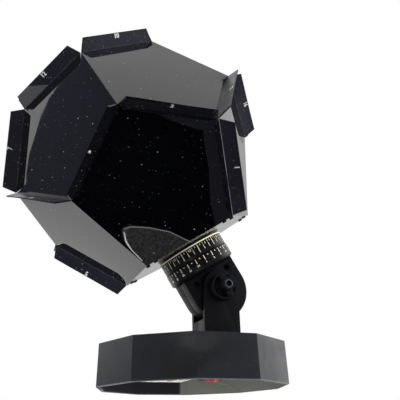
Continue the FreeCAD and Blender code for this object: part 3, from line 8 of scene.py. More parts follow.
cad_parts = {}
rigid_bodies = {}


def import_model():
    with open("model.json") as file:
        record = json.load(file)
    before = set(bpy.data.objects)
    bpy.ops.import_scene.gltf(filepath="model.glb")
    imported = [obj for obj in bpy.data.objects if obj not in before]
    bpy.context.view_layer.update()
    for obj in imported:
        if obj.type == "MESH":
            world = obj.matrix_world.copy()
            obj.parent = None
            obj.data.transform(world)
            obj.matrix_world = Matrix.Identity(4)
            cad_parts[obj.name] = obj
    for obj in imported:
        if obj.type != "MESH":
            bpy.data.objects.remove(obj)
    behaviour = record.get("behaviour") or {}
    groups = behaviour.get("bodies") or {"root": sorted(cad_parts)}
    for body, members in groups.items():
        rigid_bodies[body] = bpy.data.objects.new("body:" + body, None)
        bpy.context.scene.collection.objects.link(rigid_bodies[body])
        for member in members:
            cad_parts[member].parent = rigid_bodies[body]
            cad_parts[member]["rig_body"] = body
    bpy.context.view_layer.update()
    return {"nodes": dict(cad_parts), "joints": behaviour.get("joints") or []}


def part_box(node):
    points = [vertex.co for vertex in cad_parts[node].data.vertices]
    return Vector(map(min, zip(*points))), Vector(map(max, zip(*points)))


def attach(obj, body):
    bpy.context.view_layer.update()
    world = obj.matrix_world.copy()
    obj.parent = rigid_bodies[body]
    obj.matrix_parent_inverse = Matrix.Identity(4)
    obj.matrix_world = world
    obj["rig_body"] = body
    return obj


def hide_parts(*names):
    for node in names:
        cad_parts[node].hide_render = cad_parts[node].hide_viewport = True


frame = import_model()
mm = 0.001

# Camera: a little below the foot's rim, left of the middle and close, with a slight roll.
# The lens is about one and a half times a normal one, so the near faces of the globe look large.
view_way = Vector((0.3325, 0.8660, 0.3735)).normalized()
view_right = view_way.cross(Vector((-0.1132, -0.3565, 0.9274))).normalized()
view_up = view_right.cross(view_way)
view_place = Vector((-105.62 * mm, -359.12 * mm, -29.88 * mm))
picture_side = 400
camera_data = bpy.data.cameras.new("camera")
camera_data.sensor_width = 36.0
camera_data.lens = 54.16
camera_data.shift_x = 0.0268
camera_data.shift_y = -0.0035
camera_data.clip_start = 0.01
camera = bpy.data.objects.new("camera", camera_data)
bpy.context.scene.collection.objects.link(camera)
camera.matrix_world = (Matrix.Translation(view_place)
                       @ Matrix((view_right, view_up, -view_way)).transposed().to_4x4())
bpy.context.scene.camera = camera
bpy.context.scene.view_settings.view_transform = "Standard"


# Studio: an even white room whose left and front are dim, so that gloss shows dark fronts and pale
# sides, top and back, as in the photograph. Only gloss sees the dim part. What the camera sees
# directly or through glass is white.
def wired(tree, *links):
    """Join pairs of sockets."""
    for start, end in links:
        tree.links.new(start, end)


def fed(tree, socket, value):
    """Set a socket to a plain value or colour, or link it to another node's result."""
    if isinstance(value, bpy.types.NodeSocket):
        tree.links.new(value, socket)
    elif socket.type == "RGBA":
        socket.default_value = (*value, 1.0)
    else:
        socket.default_value = value


def reckoned(tree, operation, *values, vectors=False):
    """What a sum on numbers or on vectors gives."""
    node = tree.nodes.new("ShaderNodeVectorMath" if vectors else "ShaderNodeMath")
    node.operation = operation
    for socket, value in zip(node.inputs, values):
        fed(tree, socket, value)
    gives_vector = vectors and operation not in ("DOT_PRODUCT", "LENGTH")
    return node.outputs["Vector" if gives_vector else "Value"]


def ranged(tree, source, low, high, from_low=0.3, from_high=0.7, shape="LINEAR"):
    """A value mapped to a range."""
    step = tree.nodes.new("ShaderNodeMapRange")
    step.interpolation_type = shape
    for name, value in (("From Min", from_low), ("From Max", from_high), ("To Min", low),
                        ("To Max", high), ("Value", source)):
        fed(tree, step.inputs[name], value)
    return step.outputs["Result"]


def blended(tree, share, first, second):
    """A colour between two, each given as a colour or as another node's result."""
    mix = tree.nodes.new("ShaderNodeMix")
    mix.data_type = "RGBA"
    for name, value in (("Factor", share), ("A", first), ("B", second)):
        fed(tree, mix.inputs[name], value)
    return mix.outputs["Result"]


def layered(tree, share, first, second):
    """A surface or a light between two others."""
    mix = tree.nodes.new("ShaderNodeMixShader")
    wired(tree, (share, mix.inputs["Fac"]), (first, mix.inputs[1]), (second, mix.inputs[2]))
    return mix.outputs[0]


world = bpy.data.worlds.new("studio_room")
bpy.context.scene.world = world
world.use_nodes = True
room = world.node_tree
room.nodes.clear()


def room_light(colour, strength):
    """A light that fills the room."""
    light = room.nodes.new("ShaderNodeBackground")
    fed(room, light.inputs["Color"], colour)
    fed(room, light.inputs["Strength"], strength)
    return light.outputs[0]


room_out = room.nodes.new("ShaderNodeOutputWorld")
ray = room.nodes.new("ShaderNodeLightPath").outputs
way = room.nodes.new("ShaderNodeTexCoord").outputs["Generated"]
bright_way = Vector((0.45, 0.80, 0.40)).normalized()
bright_side = reckoned(room, "DOT_PRODUCT", way, bright_way, vectors=True)
room_shade = blended(room, ranged(room, bright_side, 0.0, 1.0, 0.22, 0.32, "SMOOTHSTEP"),
                     (0.150, 0.155, 0.205), (0.80, 0.80, 0.80))
way_parts = room.nodes.new("ShaderNodeSeparateXYZ")
room.links.new(way, way_parts.inputs[0])
brighter_above = ranged(room, way_parts.outputs["Z"], 1.0, 1.4, 0.6, 0.9)
brighter_right = ranged(room, way_parts.outputs["X"], 1.0, 2.1, 0.72, 0.86)
gloss_strength = reckoned(room, "MULTIPLY", brighter_above, brighter_right)
lit_room = layered(room, ray["Is Glossy Ray"], room_light((0.97, 0.98, 1.0), 0.75),
                   room_light(room_shade, gloss_strength))
clear_view = reckoned(room, "MAXIMUM", ray["Is Camera Ray"], ray["Is Transmission Ray"])
room.links.new(layered(room, clear_view, lit_room, room_light((1.0, 1.0, 1.0), 1.0)),
               room_out.inputs["Surface"])


def lamp(name, place, aim, side, power):
    """A square soft lamp, which neither the camera nor gloss shows."""
    data = bpy.data.lights.new(name, "AREA")
    data.shape = "SQUARE"
    data.size = side
    data.energy = power
    thing = bpy.data.objects.new(name, data)
    thing.visible_glossy = False
    thing.visible_camera = False
    bpy.context.scene.collection.objects.link(thing)
    place = Vector(place)
    turn = (Vector(aim) - place).to_track_quat("-Z", "Y").to_matrix().to_4x4()
    thing.matrix_world = Matrix.Translation(place) @ turn
    return thing


object_middle = Vector((0.0, 0.0, 0.11))
lamp("left_lamp", (-0.80, 0.25, 0.25), object_middle, 0.5, 12.0)
lamp("right_lamp", (0.85, -0.60, 0.25), object_middle, 0.5, 9.0)
lamp("top_lamp", (0.10, 0.10, 1.10), object_middle, 0.8, 6.0)
lamp("table_lamp", (-0.010, -0.015, -0.012), (0.050, 0.030, 0.006), 0.02, 0.035)


# Floor: a plain pale sheet that shows from above only, so that the low camera looks under the foot.
# Only the camera sees it, with the object's shadow, and the room lights the foot's hollow from below.
def stage_material(name):
    """An empty material for what isn't part of the object, with its tree and its output."""
    material = bpy.data.materials.new(name)
    material.use_nodes = True
    material.node_tree.nodes.clear()
    return material, material.node_tree, material.node_tree.nodes.new("ShaderNodeOutputMaterial")


bpy.ops.mesh.primitive_plane_add(size=8.0)
floor = bpy.context.object
floor.name = "floor"
floor_material, floor_tree, floor_out = stage_material("pale_floor")
floor_face = floor_tree.nodes.new("ShaderNodeBsdfDiffuse")
floor_face.inputs["Color"].default_value = (0.86, 0.86, 0.86, 1.0)
floor_clear = floor_tree.nodes.new("ShaderNodeBsdfTransparent")
floor_place = floor_tree.nodes.new("ShaderNodeNewGeometry").outputs
floor_reach = reckoned(floor_tree, "LENGTH", floor_place["Position"], vectors=True)
floor_fade = ranged(floor_tree, floor_reach, 1.0, 0.0, 0.16, 0.45, "SMOOTHSTEP")
floor_front = reckoned(floor_tree, "SUBTRACT", 1.0, floor_place["Backfacing"])
floor_seen = floor_tree.nodes.new("ShaderNodeLightPath").outputs["Is Camera Ray"]
seen_from_above = reckoned(floor_tree, "MULTIPLY", floor_seen, floor_front)
floor_share = reckoned(floor_tree, "MULTIPLY", seen_from_above, floor_fade)
floor_tree.links.new(layered(floor_tree, floor_share, floor_clear.outputs[0], floor_face.outputs[0]),
                     floor_out.inputs["Surface"])
floor.data.materials.append(floor_material)


# Foot: a hollow ten sided moulding of dark grey plastic with a fine matt texture, open below.
# Its edges are slightly rounded, and its lower rim is painted pale as a painted highlight.
def tree_of(name):
    """A new material with its node tree, its finish node and an object coordinate."""
    material = bpy.data.materials.new(name)
    material.use_nodes = True
    tree = material.node_tree
    tree.nodes.clear()
    out = tree.nodes.new("ShaderNodeOutputMaterial")
    surface = tree.nodes.new("ShaderNodeBsdfPrincipled")
    place = tree.nodes.new("ShaderNodeTexCoord")
    tree.links.new(surface.outputs[0], out.inputs["Surface"])
    return material, tree, surface, place.outputs["Object"]


def grained(tree, place, scale, detail=3.0):
    """A noise on the object's own coordinates, with a number of grains to the metre."""
    grain = tree.nodes.new("ShaderNodeTexNoise")
    grain.inputs["Scale"].default_value = scale
    grain.inputs["Detail"].default_value = detail
    tree.links.new(place, grain.inputs["Vector"])
    return grain.outputs["Fac"]


def coated(tree, surface, colour, rough):
    """Give a finish its colour and its roughness."""
    fed(tree, surface.inputs["Base Color"], colour)
    fed(tree, surface.inputs["Roughness"], rough)


def bumped(tree, surface, height, depth, strength=1.0):
    """A bump of a real depth under the surface's finish."""
    bump = tree.nodes.new("ShaderNodeBump")
    bump.inputs["Distance"].default_value = depth
    bump.inputs["Strength"].default_value = strength
    tree.links.new(height, bump.inputs["Height"])
    tree.links.new(bump.outputs["Normal"], surface.inputs["Normal"])


def faces_inwards(tree, place):
    """One where a surface faces the foot's upright middle line, nought elsewhere."""
    from_middle = reckoned(tree, "SUBTRACT", place, foot_middle, vectors=True)
    level = reckoned(tree, "MULTIPLY", from_middle, (1.0, 1.0, 0.0), vectors=True)
    normal = tree.nodes.new("ShaderNodeNewGeometry").outputs["True Normal"]
    facing = reckoned(tree, "DOT_PRODUCT", level, normal, vectors=True)
    return reckoned(tree, "LESS_THAN", facing, -0.01 * mm)


foot_low, foot_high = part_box("base_shell")
foot_middle = (Vector(foot_low) + Vector(foot_high)) / 2
# Painted light and shade: hollow walls pale right of here, dark left; painted highlight on rim; painted shade
# in gaps.
painted_light_from = foot_middle.x + 11 * mm
painted_light_to = foot_middle.x + 13 * mm
rim_highlight_to = 0.3 * mm
rim_highlight_fade_from = 0.6 * mm
rim_highlight_shade = (0.11, 0.11, 0.11)
inside_rough = 0.95
crevice_painted_shade = (0.0002, 0.0002, 0.0002)
crevice_dark = 0.45
crevice_open = 0.85


def moulded_plastic(name, shade, worn_shade, rough=0.55, texture_scale=2600.0, shine=0.5, inner_shade_and_light=(),
                    crevice=0.0):
    """Moulded plastic with an even spark texture, faint flow clouds, and dust in its gloss, and if asked
    painted light and shade in a hollow and painted shade in narrow gaps.
    """
    material, tree, surface, place = tree_of(name)
    surface.inputs["Specular IOR Level"].default_value = shine
    clouds = ranged(tree, grained(tree, place, 45.0), 0.0, 1.0)
    dust = ranged(tree, grained(tree, place, 900.0, 1.0), 0.0, 1.0, 0.68, 0.78)
    dusty = tuple(0.7 * part + 0.018 for part in worn_shade)
    dress = blended(tree, dust, blended(tree, clouds, shade, worn_shade), dusty)
    finish = ranged(tree, grained(tree, place, 90.0), rough - 0.06, rough + 0.06)
    # Painted light and shade: the inner walls are coloured dark on the left and pale on the right, for the
    # light that falls there.
    if inner_shade_and_light:
        parts = tree.nodes.new("ShaderNodeSeparateXYZ")
        tree.links.new(place, parts.inputs["Vector"])
        inside = faces_inwards(tree, place)
        painted_light_side = ranged(tree, parts.outputs["X"], 0.0, 1.0, painted_light_from, painted_light_to)
        dress = blended(tree, inside, dress, blended(tree, painted_light_side, *inner_shade_and_light))
        finish = reckoned(tree, "MAXIMUM", finish, ranged(tree, inside, 0.0, inside_rough, 0.0, 1.0))
        # Painted highlight: the lowest part of the foot is painted pale, standing for the lit bottom face of
        # its rim.
        rim = ranged(tree, parts.outputs["Z"], 0.9, 0.0, rim_highlight_to, rim_highlight_fade_from)
        dress = blended(tree, rim, dress, rim_highlight_shade)
    # Painted shade: where ambient occlusion finds narrow gaps, the colour goes near black and the gloss
    # rougher.
    if crevice:
        shelter = tree.nodes.new("ShaderNodeAmbientOcclusion")
        shelter.inputs["Distance"].default_value = crevice
        shelter.samples = 12
        open_share = ranged(tree, shelter.outputs["AO"], 0.0, 1.0, crevice_dark, crevice_open)
        dress = blended(tree, open_share, crevice_painted_shade, dress)
        closed_share = ranged(tree, shelter.outputs["AO"], 1.0, 0.0, crevice_dark, crevice_open)
        finish = reckoned(tree, "MAXIMUM", finish, closed_share)
    coated(tree, surface, dress, finish)
    bumped(tree, surface, grained(tree, place, texture_scale, 1.0), 0.03 * mm)
    return material


def finished(form, name, material, body, nodes=(), smooth=30.0):
    """A piece made of a bmesh, with its material, on its body, in place of its solids."""
    mesh = bpy.data.meshes.new(name)
    form.to_mesh(mesh)
    form.free()
    piece = bpy.data.objects.new(name, mesh)
    bpy.context.scene.collection.objects.link(piece)
    mesh.materials.append(material)
    if smooth:
        mesh.shade_smooth()
        mesh.set_sharp_from_angle(angle=math.radians(smooth))
    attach(piece, body)
    if nodes:
        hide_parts(*nodes)
    return piece


def dressed(node, material, edge=0.35 * mm, steps=2, crease=35.0):
    """A copy of a solid with its sharp edges rounded, which stands for the solid."""
    source = frame["nodes"][node]
    form = bmesh.new()
    form.from_mesh(source.data)
    bmesh.ops.remove_doubles(form, verts=form.verts, dist=0.002 * mm)
    bmesh.ops.dissolve_limit(form, angle_limit=math.radians(1.0), verts=form.verts, edges=form.edges)
    sharp = [line for line in form.edges
             if len(line.link_faces) == 2 and line.calc_face_angle(0.0) > math.radians(crease)]
    if edge and sharp:
        bmesh.ops.bevel(form, geom=sharp, offset=edge, offset_type="OFFSET", segments=steps, profile=0.5,
                        affect="EDGES", clamp_overlap=True, material=-1)
    return finished(form, "dressed_" + node, material, source["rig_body"], [node])


# The hollow's walls take painted shade on the left and painted light on the right.
foot_plastic = moulded_plastic("foot_plastic", (0.0120, 0.0125, 0.0145), (0.0155, 0.0160, 0.0180), 0.42,
                               inner_shade_and_light=((0.012, 0.012, 0.014), (0.150, 0.150, 0.130)))
dressed("base_shell", foot_plastic, 0.5 * mm, 3, 25.0)

# Column: two half shells of black plastic that meet in the middle, each with a round topped ear
# beside the tilting head. Four screws hold it to the foot and two hold its halves together.
# Narrow gaps on the column and the head get painted shade within this reach.
crevice_reach = 2.5 * mm
column_plastic = moulded_plastic("column_plastic", (0.0036, 0.0036, 0.0044), (0.0058, 0.0058, 0.0066), 0.46,
                                 shine=0.3, crevice=crevice_reach)
dressed("column_front", column_plastic, 0.4 * mm, 3)
dressed("column_back", column_plastic, 0.4 * mm, 3)

# Head: two half shells of the same black plastic on the tilt axis, with two counterbored screws.
# A flanged cup on top of them carries the neck's rings.
head_plastic = moulded_plastic("head_plastic", (0.0030, 0.0030, 0.0040), (0.0050, 0.0050, 0.0060), 0.46,
                               shine=0.3, crevice=crevice_reach)
dressed("head_front", head_plastic, 0.4 * mm, 3)
dressed("head_back", head_plastic, 0.4 * mm, 3)
dressed("neck_cup", head_plastic, 0.2 * mm, 2)

# Clamp: a round knob of glossier black plastic with a wing, pressed on the socket head of a turned
# steel bolt. The screws, the washer and the nut are steel too, plated or blackened.
knob_plastic = moulded_plastic("knob_plastic", (0.004, 0.004, 0.0045), (0.007, 0.007, 0.008), 0.20)
dressed("clamp_knob", knob_plastic, 0.4 * mm, 3)


def steel(name, shade, rough):
    """Steel with fine turning marks in its gloss and a few duller patches."""
    material, tree, surface, place = tree_of(name)
    surface.inputs["Metallic"].default_value = 1.0
    duller = tuple(0.7 * part for part in shade)
    marks = grained(tree, place, 1400.0, 2.0)
    coated(tree, surface, blended(tree, ranged(tree, grained(tree, place, 220.0), 0.0, 1.0), shade, duller),
           ranged(tree, marks, rough - 0.08, rough + 0.1))
    bumped(tree, surface, marks, 0.01 * mm)
    return material


bright_steel = steel("zinc_plated_steel", (0.55, 0.55, 0.56), 0.32)
dark_steel = steel("blackened_steel", (0.03, 0.03, 0.033), 0.36)
bolt_low, bolt_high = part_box("clamp_bolt")
bolt_steel = steel("bolt_steel", (0.55, 0.55, 0.56), 0.25)
bolt_tree = bolt_steel.node_tree
bolt_face = [node for node in bolt_tree.nodes if node.type == "BSDF_PRINCIPLED"][0]
bolt_place = [node for node in bolt_tree.nodes if node.type == "TEX_COORD"][0].outputs["Object"]
# Painted shade and highlight: the bolt head is near black in its middle and bright steel in an outer ring,
# for the shade in its socket and the highlight on its rim.
from_axis = reckoned(bolt_tree, "SUBTRACT", bolt_place, (Vector(bolt_low) + Vector(bolt_high)) / 2,
                     vectors=True)
across_axis = reckoned(bolt_tree, "MULTIPLY", from_axis, (1.0, 0.0, 1.0), vectors=True)
axis_reach = reckoned(bolt_tree, "LENGTH", across_axis, vectors=True)
bolt_radius = (bolt_high[0] - bolt_low[0]) / 2
lit_rim_share = ranged(bolt_tree, axis_reach, 0.0, 1.0, 0.70 * bolt_radius, 0.80 * bolt_radius)
bolt_shade = bolt_face.inputs["Base Color"].links[0].from_socket
bolt_tree.links.new(blended(bolt_tree, lit_rim_share, (0.03, 0.03, 0.03), bolt_shade),
                    bolt_face.inputs["Base Color"])
dressed("clamp_bolt", bolt_steel, 0.25 * mm, 2)
for node in ("clamp_washer", "clamp_nut"):
    dressed(node, bright_steel, 0.12 * mm, 2)
for node in ("column_foot_screws", "column_join_screws", "head_screws", "lamp_post_screws",
             "keeper_ring_screws", "power_switch_screws"):
    dressed(node, dark_steel, 0.08 * mm, 1)

# Neck: an hour ring that stays still, and a date ring that turns above it with a gold edge.
# Both are black with raised marks: months and days above, hours below.
tilt_axis = [joint for joint in frame["joints"] if joint["name"] == "head_tilt"][0]
pivot = Vector(tilt_axis["pos_m"])
tilt_rest = math.radians(31.5)
neck_place = Matrix.Translation(pivot) @ Matrix.Rotation(-tilt_rest, 4, "Y")
ring_black = moulded_plastic("scale_ring_black", (0.0050, 0.0042, 0.0035), (0.0085, 0.0072, 0.0055), 0.30,
                             shine=0.4)
dressed("hour_ring", ring_black, 0.25 * mm, 2)
dressed("date_ring", ring_black, 0.25 * mm, 2)
for node in ("neck_keeper_ring", "globe_floor_disc", "date_ring_pins"):
    dressed(node, ring_black, 0.1 * mm, 1)


def printed(name, shade, worn_shade):
    """Foil print: satin, a little rubbed, with specks where the ring shows through."""
    material, tree, surface, place = tree_of(name)
    rubbed = ranged(tree, grained(tree, place, 1500.0, 2.0), 0.0, 1.0, 0.55, 0.75)
    coated(tree, surface, blended(tree, rubbed, shade, worn_shade),
           ranged(tree, grained(tree, place, 500.0), 0.35, 0.6))
    return material


cream_print = printed("cream_print", (0.95, 0.93, 0.78), (0.55, 0.50, 0.34))
gold_print = printed("gold_edge", (0.95, 0.93, 0.60), (0.75, 0.70, 0.36))
dressed("gold_edge_ring", gold_print, 0.1 * mm, 1)

hour_ring_low = 15.8 * mm
hour_ring_high = 23.8 * mm
hour_ring_radius = 22.6 * mm
date_ring_low = 24.1 * mm
date_ring_high = 31.5 * mm
date_ring_radius = 22.3 * mm
mark_rise = 0.06 * mm
bar_width = 0.42 * mm
short_bar_width = 0.34 * mm
tick_width = 0.24 * mm
dot_radius = 0.36 * mm
# The size of the type over its figures' height, and how much bolder than plain it is.
type_share = 1.4
type_weight = 0.045


def wrapped(points, radius, angle):
    """Bend flat points round a ring: x runs round it, y up it and z out of it."""
    for point in points:
        reach = radius + point.co.z
        turn = angle + point.co.x / radius
        point.co = (reach * math.cos(turn), reach * math.sin(turn), point.co.y)


def ring_bar(form, radius, angle, width, low, high):
    """A raised upright bar on a ring."""
    shape = (Matrix.Translation((0.0, (low + high) / 2, 0.0))
             @ Matrix.Diagonal((width, high - low, 2 * mark_rise, 1.0)))
    wrapped(bmesh.ops.create_cube(form, size=1.0, matrix=shape)["verts"], radius, angle)


def ring_dot(form, radius, angle, height, size):
    """A raised round dot on a ring."""
    disc = bmesh.ops.create_cone(form, cap_ends=True, segments=10, radius1=size, radius2=size,
                                 depth=2 * mark_rise, matrix=Matrix.Translation((0.0, height, 0.0)))
    wrapped(disc["verts"], radius, angle)


def numeral(form, words, height):
    """A plain raised number, flat about the origin, added to a bmesh, and its new points."""
    curve = bpy.data.curves.new("numeral", "FONT")
    curve.body = words
    curve.size = height * type_share
    curve.align_x = "CENTER"
    curve.align_y = "CENTER"
    curve.extrude = mark_rise
    curve.offset = type_weight * height
    curve.resolution_u = 3
    thing = bpy.data.objects.new("numeral", curve)
    bpy.context.scene.collection.objects.link(thing)
    bpy.context.view_layer.update()
    mesh = bpy.data.meshes.new_from_object(thing)
    mesh.materials.clear()
    bpy.data.objects.remove(thing)
    bpy.data.curves.remove(curve)
    count = len(form.verts)
    form.from_mesh(mesh)
    bpy.data.meshes.remove(mesh)
    form.verts.ensure_lookup_table()
    return form.verts[count:]


def ring_number(form, words, height, radius, angle, middle):
    """A raised number on a ring."""
    points = numeral(form, words, height)
    for point in points:
        point.co.y += middle
    wrapped(points, radius, angle)


months = 12
hours = 24
month_turn = math.radians(-103.3)
hour_turn = math.radians(-102.8)
date_marks = bmesh.new()
date_height = date_ring_high - date_ring_low
for month in range(months):
    first = month_turn + 2 * math.pi * month / months
    tenth = 2 * math.pi / months / 3
    ring_bar(date_marks, date_ring_radius, first, bar_width, date_ring_low + 0.22 * date_height,
             date_ring_high - 0.4 * mm)
    for third in (1, 2):
        ring_bar(date_marks, date_ring_radius, first + third * tenth, short_bar_width,
                 date_ring_low + 0.30 * date_height, date_ring_low + 0.68 * date_height)
    for part in range(1, 6):
        if part != 3:
            ring_bar(date_marks, date_ring_radius, first + part * tenth / 2, tick_width,
                     date_ring_high - 1.9 * mm, date_ring_high - 0.5 * mm)
    ring_number(date_marks, str(month % 12 + 1), 1.5 * mm, date_ring_radius, first + 1.5 * tenth,
                date_ring_high - 1.6 * mm)
date_marks.transform(neck_place)
finished(date_marks, "date_ring_marks", cream_print, "globe", smooth=None)

hour_marks = bmesh.new()
hour_height = hour_ring_high - hour_ring_low
for hour in range(hours):
    here = hour_turn + 2 * math.pi * hour / hours
    ring_bar(hour_marks, hour_ring_radius, here, bar_width, hour_ring_low + 0.56 * hour_height,
             hour_ring_high - 0.5 * mm)
    ring_number(hour_marks, str(hour + 1), 1.25 * mm, hour_ring_radius, here,
                hour_ring_low + 0.36 * hour_height)
    ring_dot(hour_marks, hour_ring_radius, here + math.pi / hours, hour_ring_high - 1.3 * mm,
             dot_radius)
hour_marks.transform(neck_place)
finished(hour_marks, "hour_ring_marks", cream_print, "head", smooth=None)

# Globe: glossy black film, folded along the edges of a regular solid of twelve five sided faces.
# Three sheets of three faces, one of two and the floor: glued seams have flaps that stand outside,
# and are pulled in between their corners, so that each face bows a little.
golden = (1 + math.sqrt(5)) / 2
film_edge = 60.0 * mm
film_gauge = 0.4 * mm
floor_height = 33.5 * mm
globe_twist = math.radians(211.6)
flap_height = 8.5 * mm
flap_recess = 4.5 * mm
flap_foot_inset = 5.0 * mm
flap_edge_inset = 0.5 * mm
flap_tip_inset = 3.5 * mm
floor_tab_width = 5.0 * mm
floor_tab_inset = 2.0 * mm
face_reach = golden ** 2 / (2 * math.sqrt(3 - golden)) * film_edge
face_radius = film_edge / (2 * math.sin(math.pi / 5))
face_inside = face_radius * math.cos(math.pi / 5)
waist_radius = face_radius * golden
waist_height = math.sqrt((golden * math.sqrt(3) / 2 * film_edge) ** 2 - waist_radius ** 2)
inside_share = (face_reach - film_gauge) / face_reach
globe_place = (neck_place @ Matrix.Translation((0, 0, floor_height + face_reach))
               @ Matrix.Rotation(globe_twist, 4, "Z"))
film_crown = 0.25 * mm
film_wave = 0.18 * mm
face_steps = 24
panel_spacing = 0.2
fold_round = 0.45 * mm
film_bow_share = 0.10
flat_lean = math.radians(30.0)


def globe_corner(ring, step):
    """A corner of the globe: ring is floor, low, high or top."""
    radius = face_radius if ring in ("floor", "top") else waist_radius
    height = {"floor": -face_reach, "low": -waist_height, "high": waist_height, "top": face_reach}[ring]
    turn = 2 * math.pi / 5 * (step % 5) + (math.pi / 5 if ring in ("high", "top") else 0)
    return Vector((radius * math.cos(turn), radius * math.sin(turn), height))


faces = {"floor": [globe_corner("floor", step) for step in range(5)],
         "top": [globe_corner("top", step) for step in range(5)]}
for step in range(5):
    faces["lower%d" % step] = [globe_corner("floor", step), globe_corner("floor", step + 1),
                               globe_corner("low", step + 1), globe_corner("high", step),
                               globe_corner("low", step)]
    faces["upper%d" % step] = [globe_corner("top", step), globe_corner("top", step + 1),
                               globe_corner("high", step + 1), globe_corner("low", step + 1),
                               globe_corner("high", step)]
sheets = {
    "film_sheet_front": ["lower0", "lower4", "upper3"],
    "film_sheet_left": ["upper0", "upper4", "upper1"],
    "film_sheet_rear": ["lower1", "lower2", "lower3"],
    "film_sheet_top": ["top", "upper2"],
}
sheet_of = {name: label for label, names in sheets.items() for name in names}


def face_middle(name):
    """The middle of a flat face."""
    return sum(faces[name], Vector()) / 5


def neighbour_at(name, start, end):
    """The other face at one edge of a face."""
    for other, corners in faces.items():
        if other != name and all(any((point - corner).length < film_gauge for corner in corners)
                                 for point in (start, end)):
            return other


face_edges = {}
for name in sheet_of:
    face_edges[name] = []
    for start, end in zip(faces[name], faces[name][1:] + faces[name][:1]):
        other = neighbour_at(name, start, end)
        glued = other != "floor" and sheet_of[other] != sheet_of[name]
        face_edges[name].append((start, end, other, glued))


def seam_pull(start, end):
    """How far and which way a glued seam is pulled in."""
    return -(start + end).normalized() * flap_recess


def outline(name):
    """A face's corners and the ends of its seams' sunk lines, each with the way that it's pulled."""
    points = []
    for start, end, other, glued in face_edges[name]:
        points.append((start, Vector()))
        if glued:
            along = (end - start).normalized()
            points.append((start + along * flap_foot_inset, seam_pull(start, end)))
            points.append((end - along * flap_foot_inset, seam_pull(start, end)))
    return points


def bowed(name, point, pulls):
    """Where a point inside a flat face lies, by the mean of its outline's pulls, with a slight crown."""
    ways = [place - point for place, pull in pulls]
    halves = [math.tan(way.angle(ways[(index + 1) % len(ways)]) / 2) for index, way in enumerate(ways)]
    total = 0.0
    moved = Vector()
    for index, (place, pull) in enumerate(pulls):
        weight = (halves[index - 1] + halves[index]) / ways[index].length
        total += weight
        moved += pull * weight
    middle = face_middle(name)
    crown = 1.0
    for start, end, other, glued in face_edges[name]:
        edge_middle = (start + end) / 2
        crown *= (point - edge_middle).dot((middle - edge_middle).normalized()) / face_inside
    lift = min(1.0, crown) * (film_crown + noise.noise(point * 28.0) * film_wave)
    return point + moved / total + middle.normalized() * lift


def floor_tab(form, start, end):
    """The tab of one lower panel that lies inside on the floor, below the rivets' heads."""
    along = (end - start).normalized()
    inward = Vector((-(start.x + end.x), -(start.y + end.y), 0)).normalized()
    low = [start + along * floor_tab_inset, end - along * floor_tab_inset,
           end - along * 2 * floor_tab_inset + inward * floor_tab_width,
           start + along * 2 * floor_tab_inset + inward * floor_tab_width]
    tab = form.faces.new([form.verts.new(point) for point in low])
    raised = bmesh.ops.extrude_face_region(form, geom=[tab])["geom"]
    bmesh.ops.translate(form, verts=[item for item in raised if isinstance(item, bmesh.types.BMVert)],
                        vec=(0.0, 0.0, film_gauge))


def panels(names):
    """The panels of one sheet, joined along its folds, with their floor tabs, in the film's thickness."""
    form = bmesh.new()
    flat_place = form.loops.layers.uv.new("flat_place")
    folds = []
    for name in names:
        middle = face_middle(name)
        across = (faces[name][0] - middle).normalized()
        upwards = middle.normalized().cross(across)
        pulls = outline(name)
        for start, end, other, glued in face_edges[name]:
            if not glued:
                folds.append((start, (end - start).normalized()))
            rows = []
            for step in range(face_steps):
                left = middle.lerp(start, step / face_steps)
                right = middle.lerp(end, step / face_steps)
                flat = [left.lerp(right, place / max(1, step)) for place in range(step + 1)]
                rows.append([(point, form.verts.new(bowed(name, point, pulls))) for point in flat])
            rim = []
            for place in range(face_steps + 1):
                point = start.lerp(end, place / face_steps)
                room_here = min(place, face_steps - place) * film_edge / face_steps
                pull = seam_pull(start, end) * min(1.0, room_here / flap_foot_inset) if glued else Vector()
                rim.append((point, form.verts.new(point + pull)))
            rows.append(rim)
            for near, far in zip(rows, rows[1:]):
                for place in range(len(near)):
                    three = [(near[place], far[place], far[place + 1])]
                    if place:
                        three.append((near[place - 1], far[place], near[place]))
                    for corners in three:
                        face = form.faces.new([vert for point, vert in corners])
                        for loop, (point, vert) in zip(face.loops, corners):
                            loop[flat_place].uv = ((point - middle).dot(across) + panel_spacing * len(folds),
                                                   (point - middle).dot(upwards))
    bmesh.ops.remove_doubles(form, verts=form.verts, dist=0.01 * mm)
    bmesh.ops.recalc_face_normals(form, faces=form.faces)
    if sum(face.normal.dot(face.calc_center_median()) for face in form.faces) < 0:
        bmesh.ops.reverse_faces(form, faces=form.faces)
    folded = []
    for line in form.edges:
        for start, along in folds:
            if len(line.link_faces) == 2 and all((vert.co - start).cross(along).length < 0.02 * mm
                                                 for vert in line.verts):
                folded.append(line)
    bmesh.ops.bevel(form, geom=list(set(folded)), offset=fold_round, offset_type="OFFSET", segments=3,
                    profile=0.5, affect="EDGES", clamp_overlap=True, material=-1)
    outside = list(form.faces)
    rims = [(loop.vert, loop.link_loop_next.vert) for line in form.edges if line.is_boundary
            for loop in line.link_loops]
    inner = {vert: form.verts.new(vert.co * inside_share) for vert in list(form.verts)}
    for face in outside:
        form.faces.new([inner[vert] for vert in reversed(face.verts)])
    for start, end in rims:
        form.faces.new((end, start, inner[start], inner[end]))
    for name in names:
        for start, end, other, glued in face_edges[name]:
            if other == "floor":
                floor_tab(form, start * inside_share, end * inside_share)
    return form


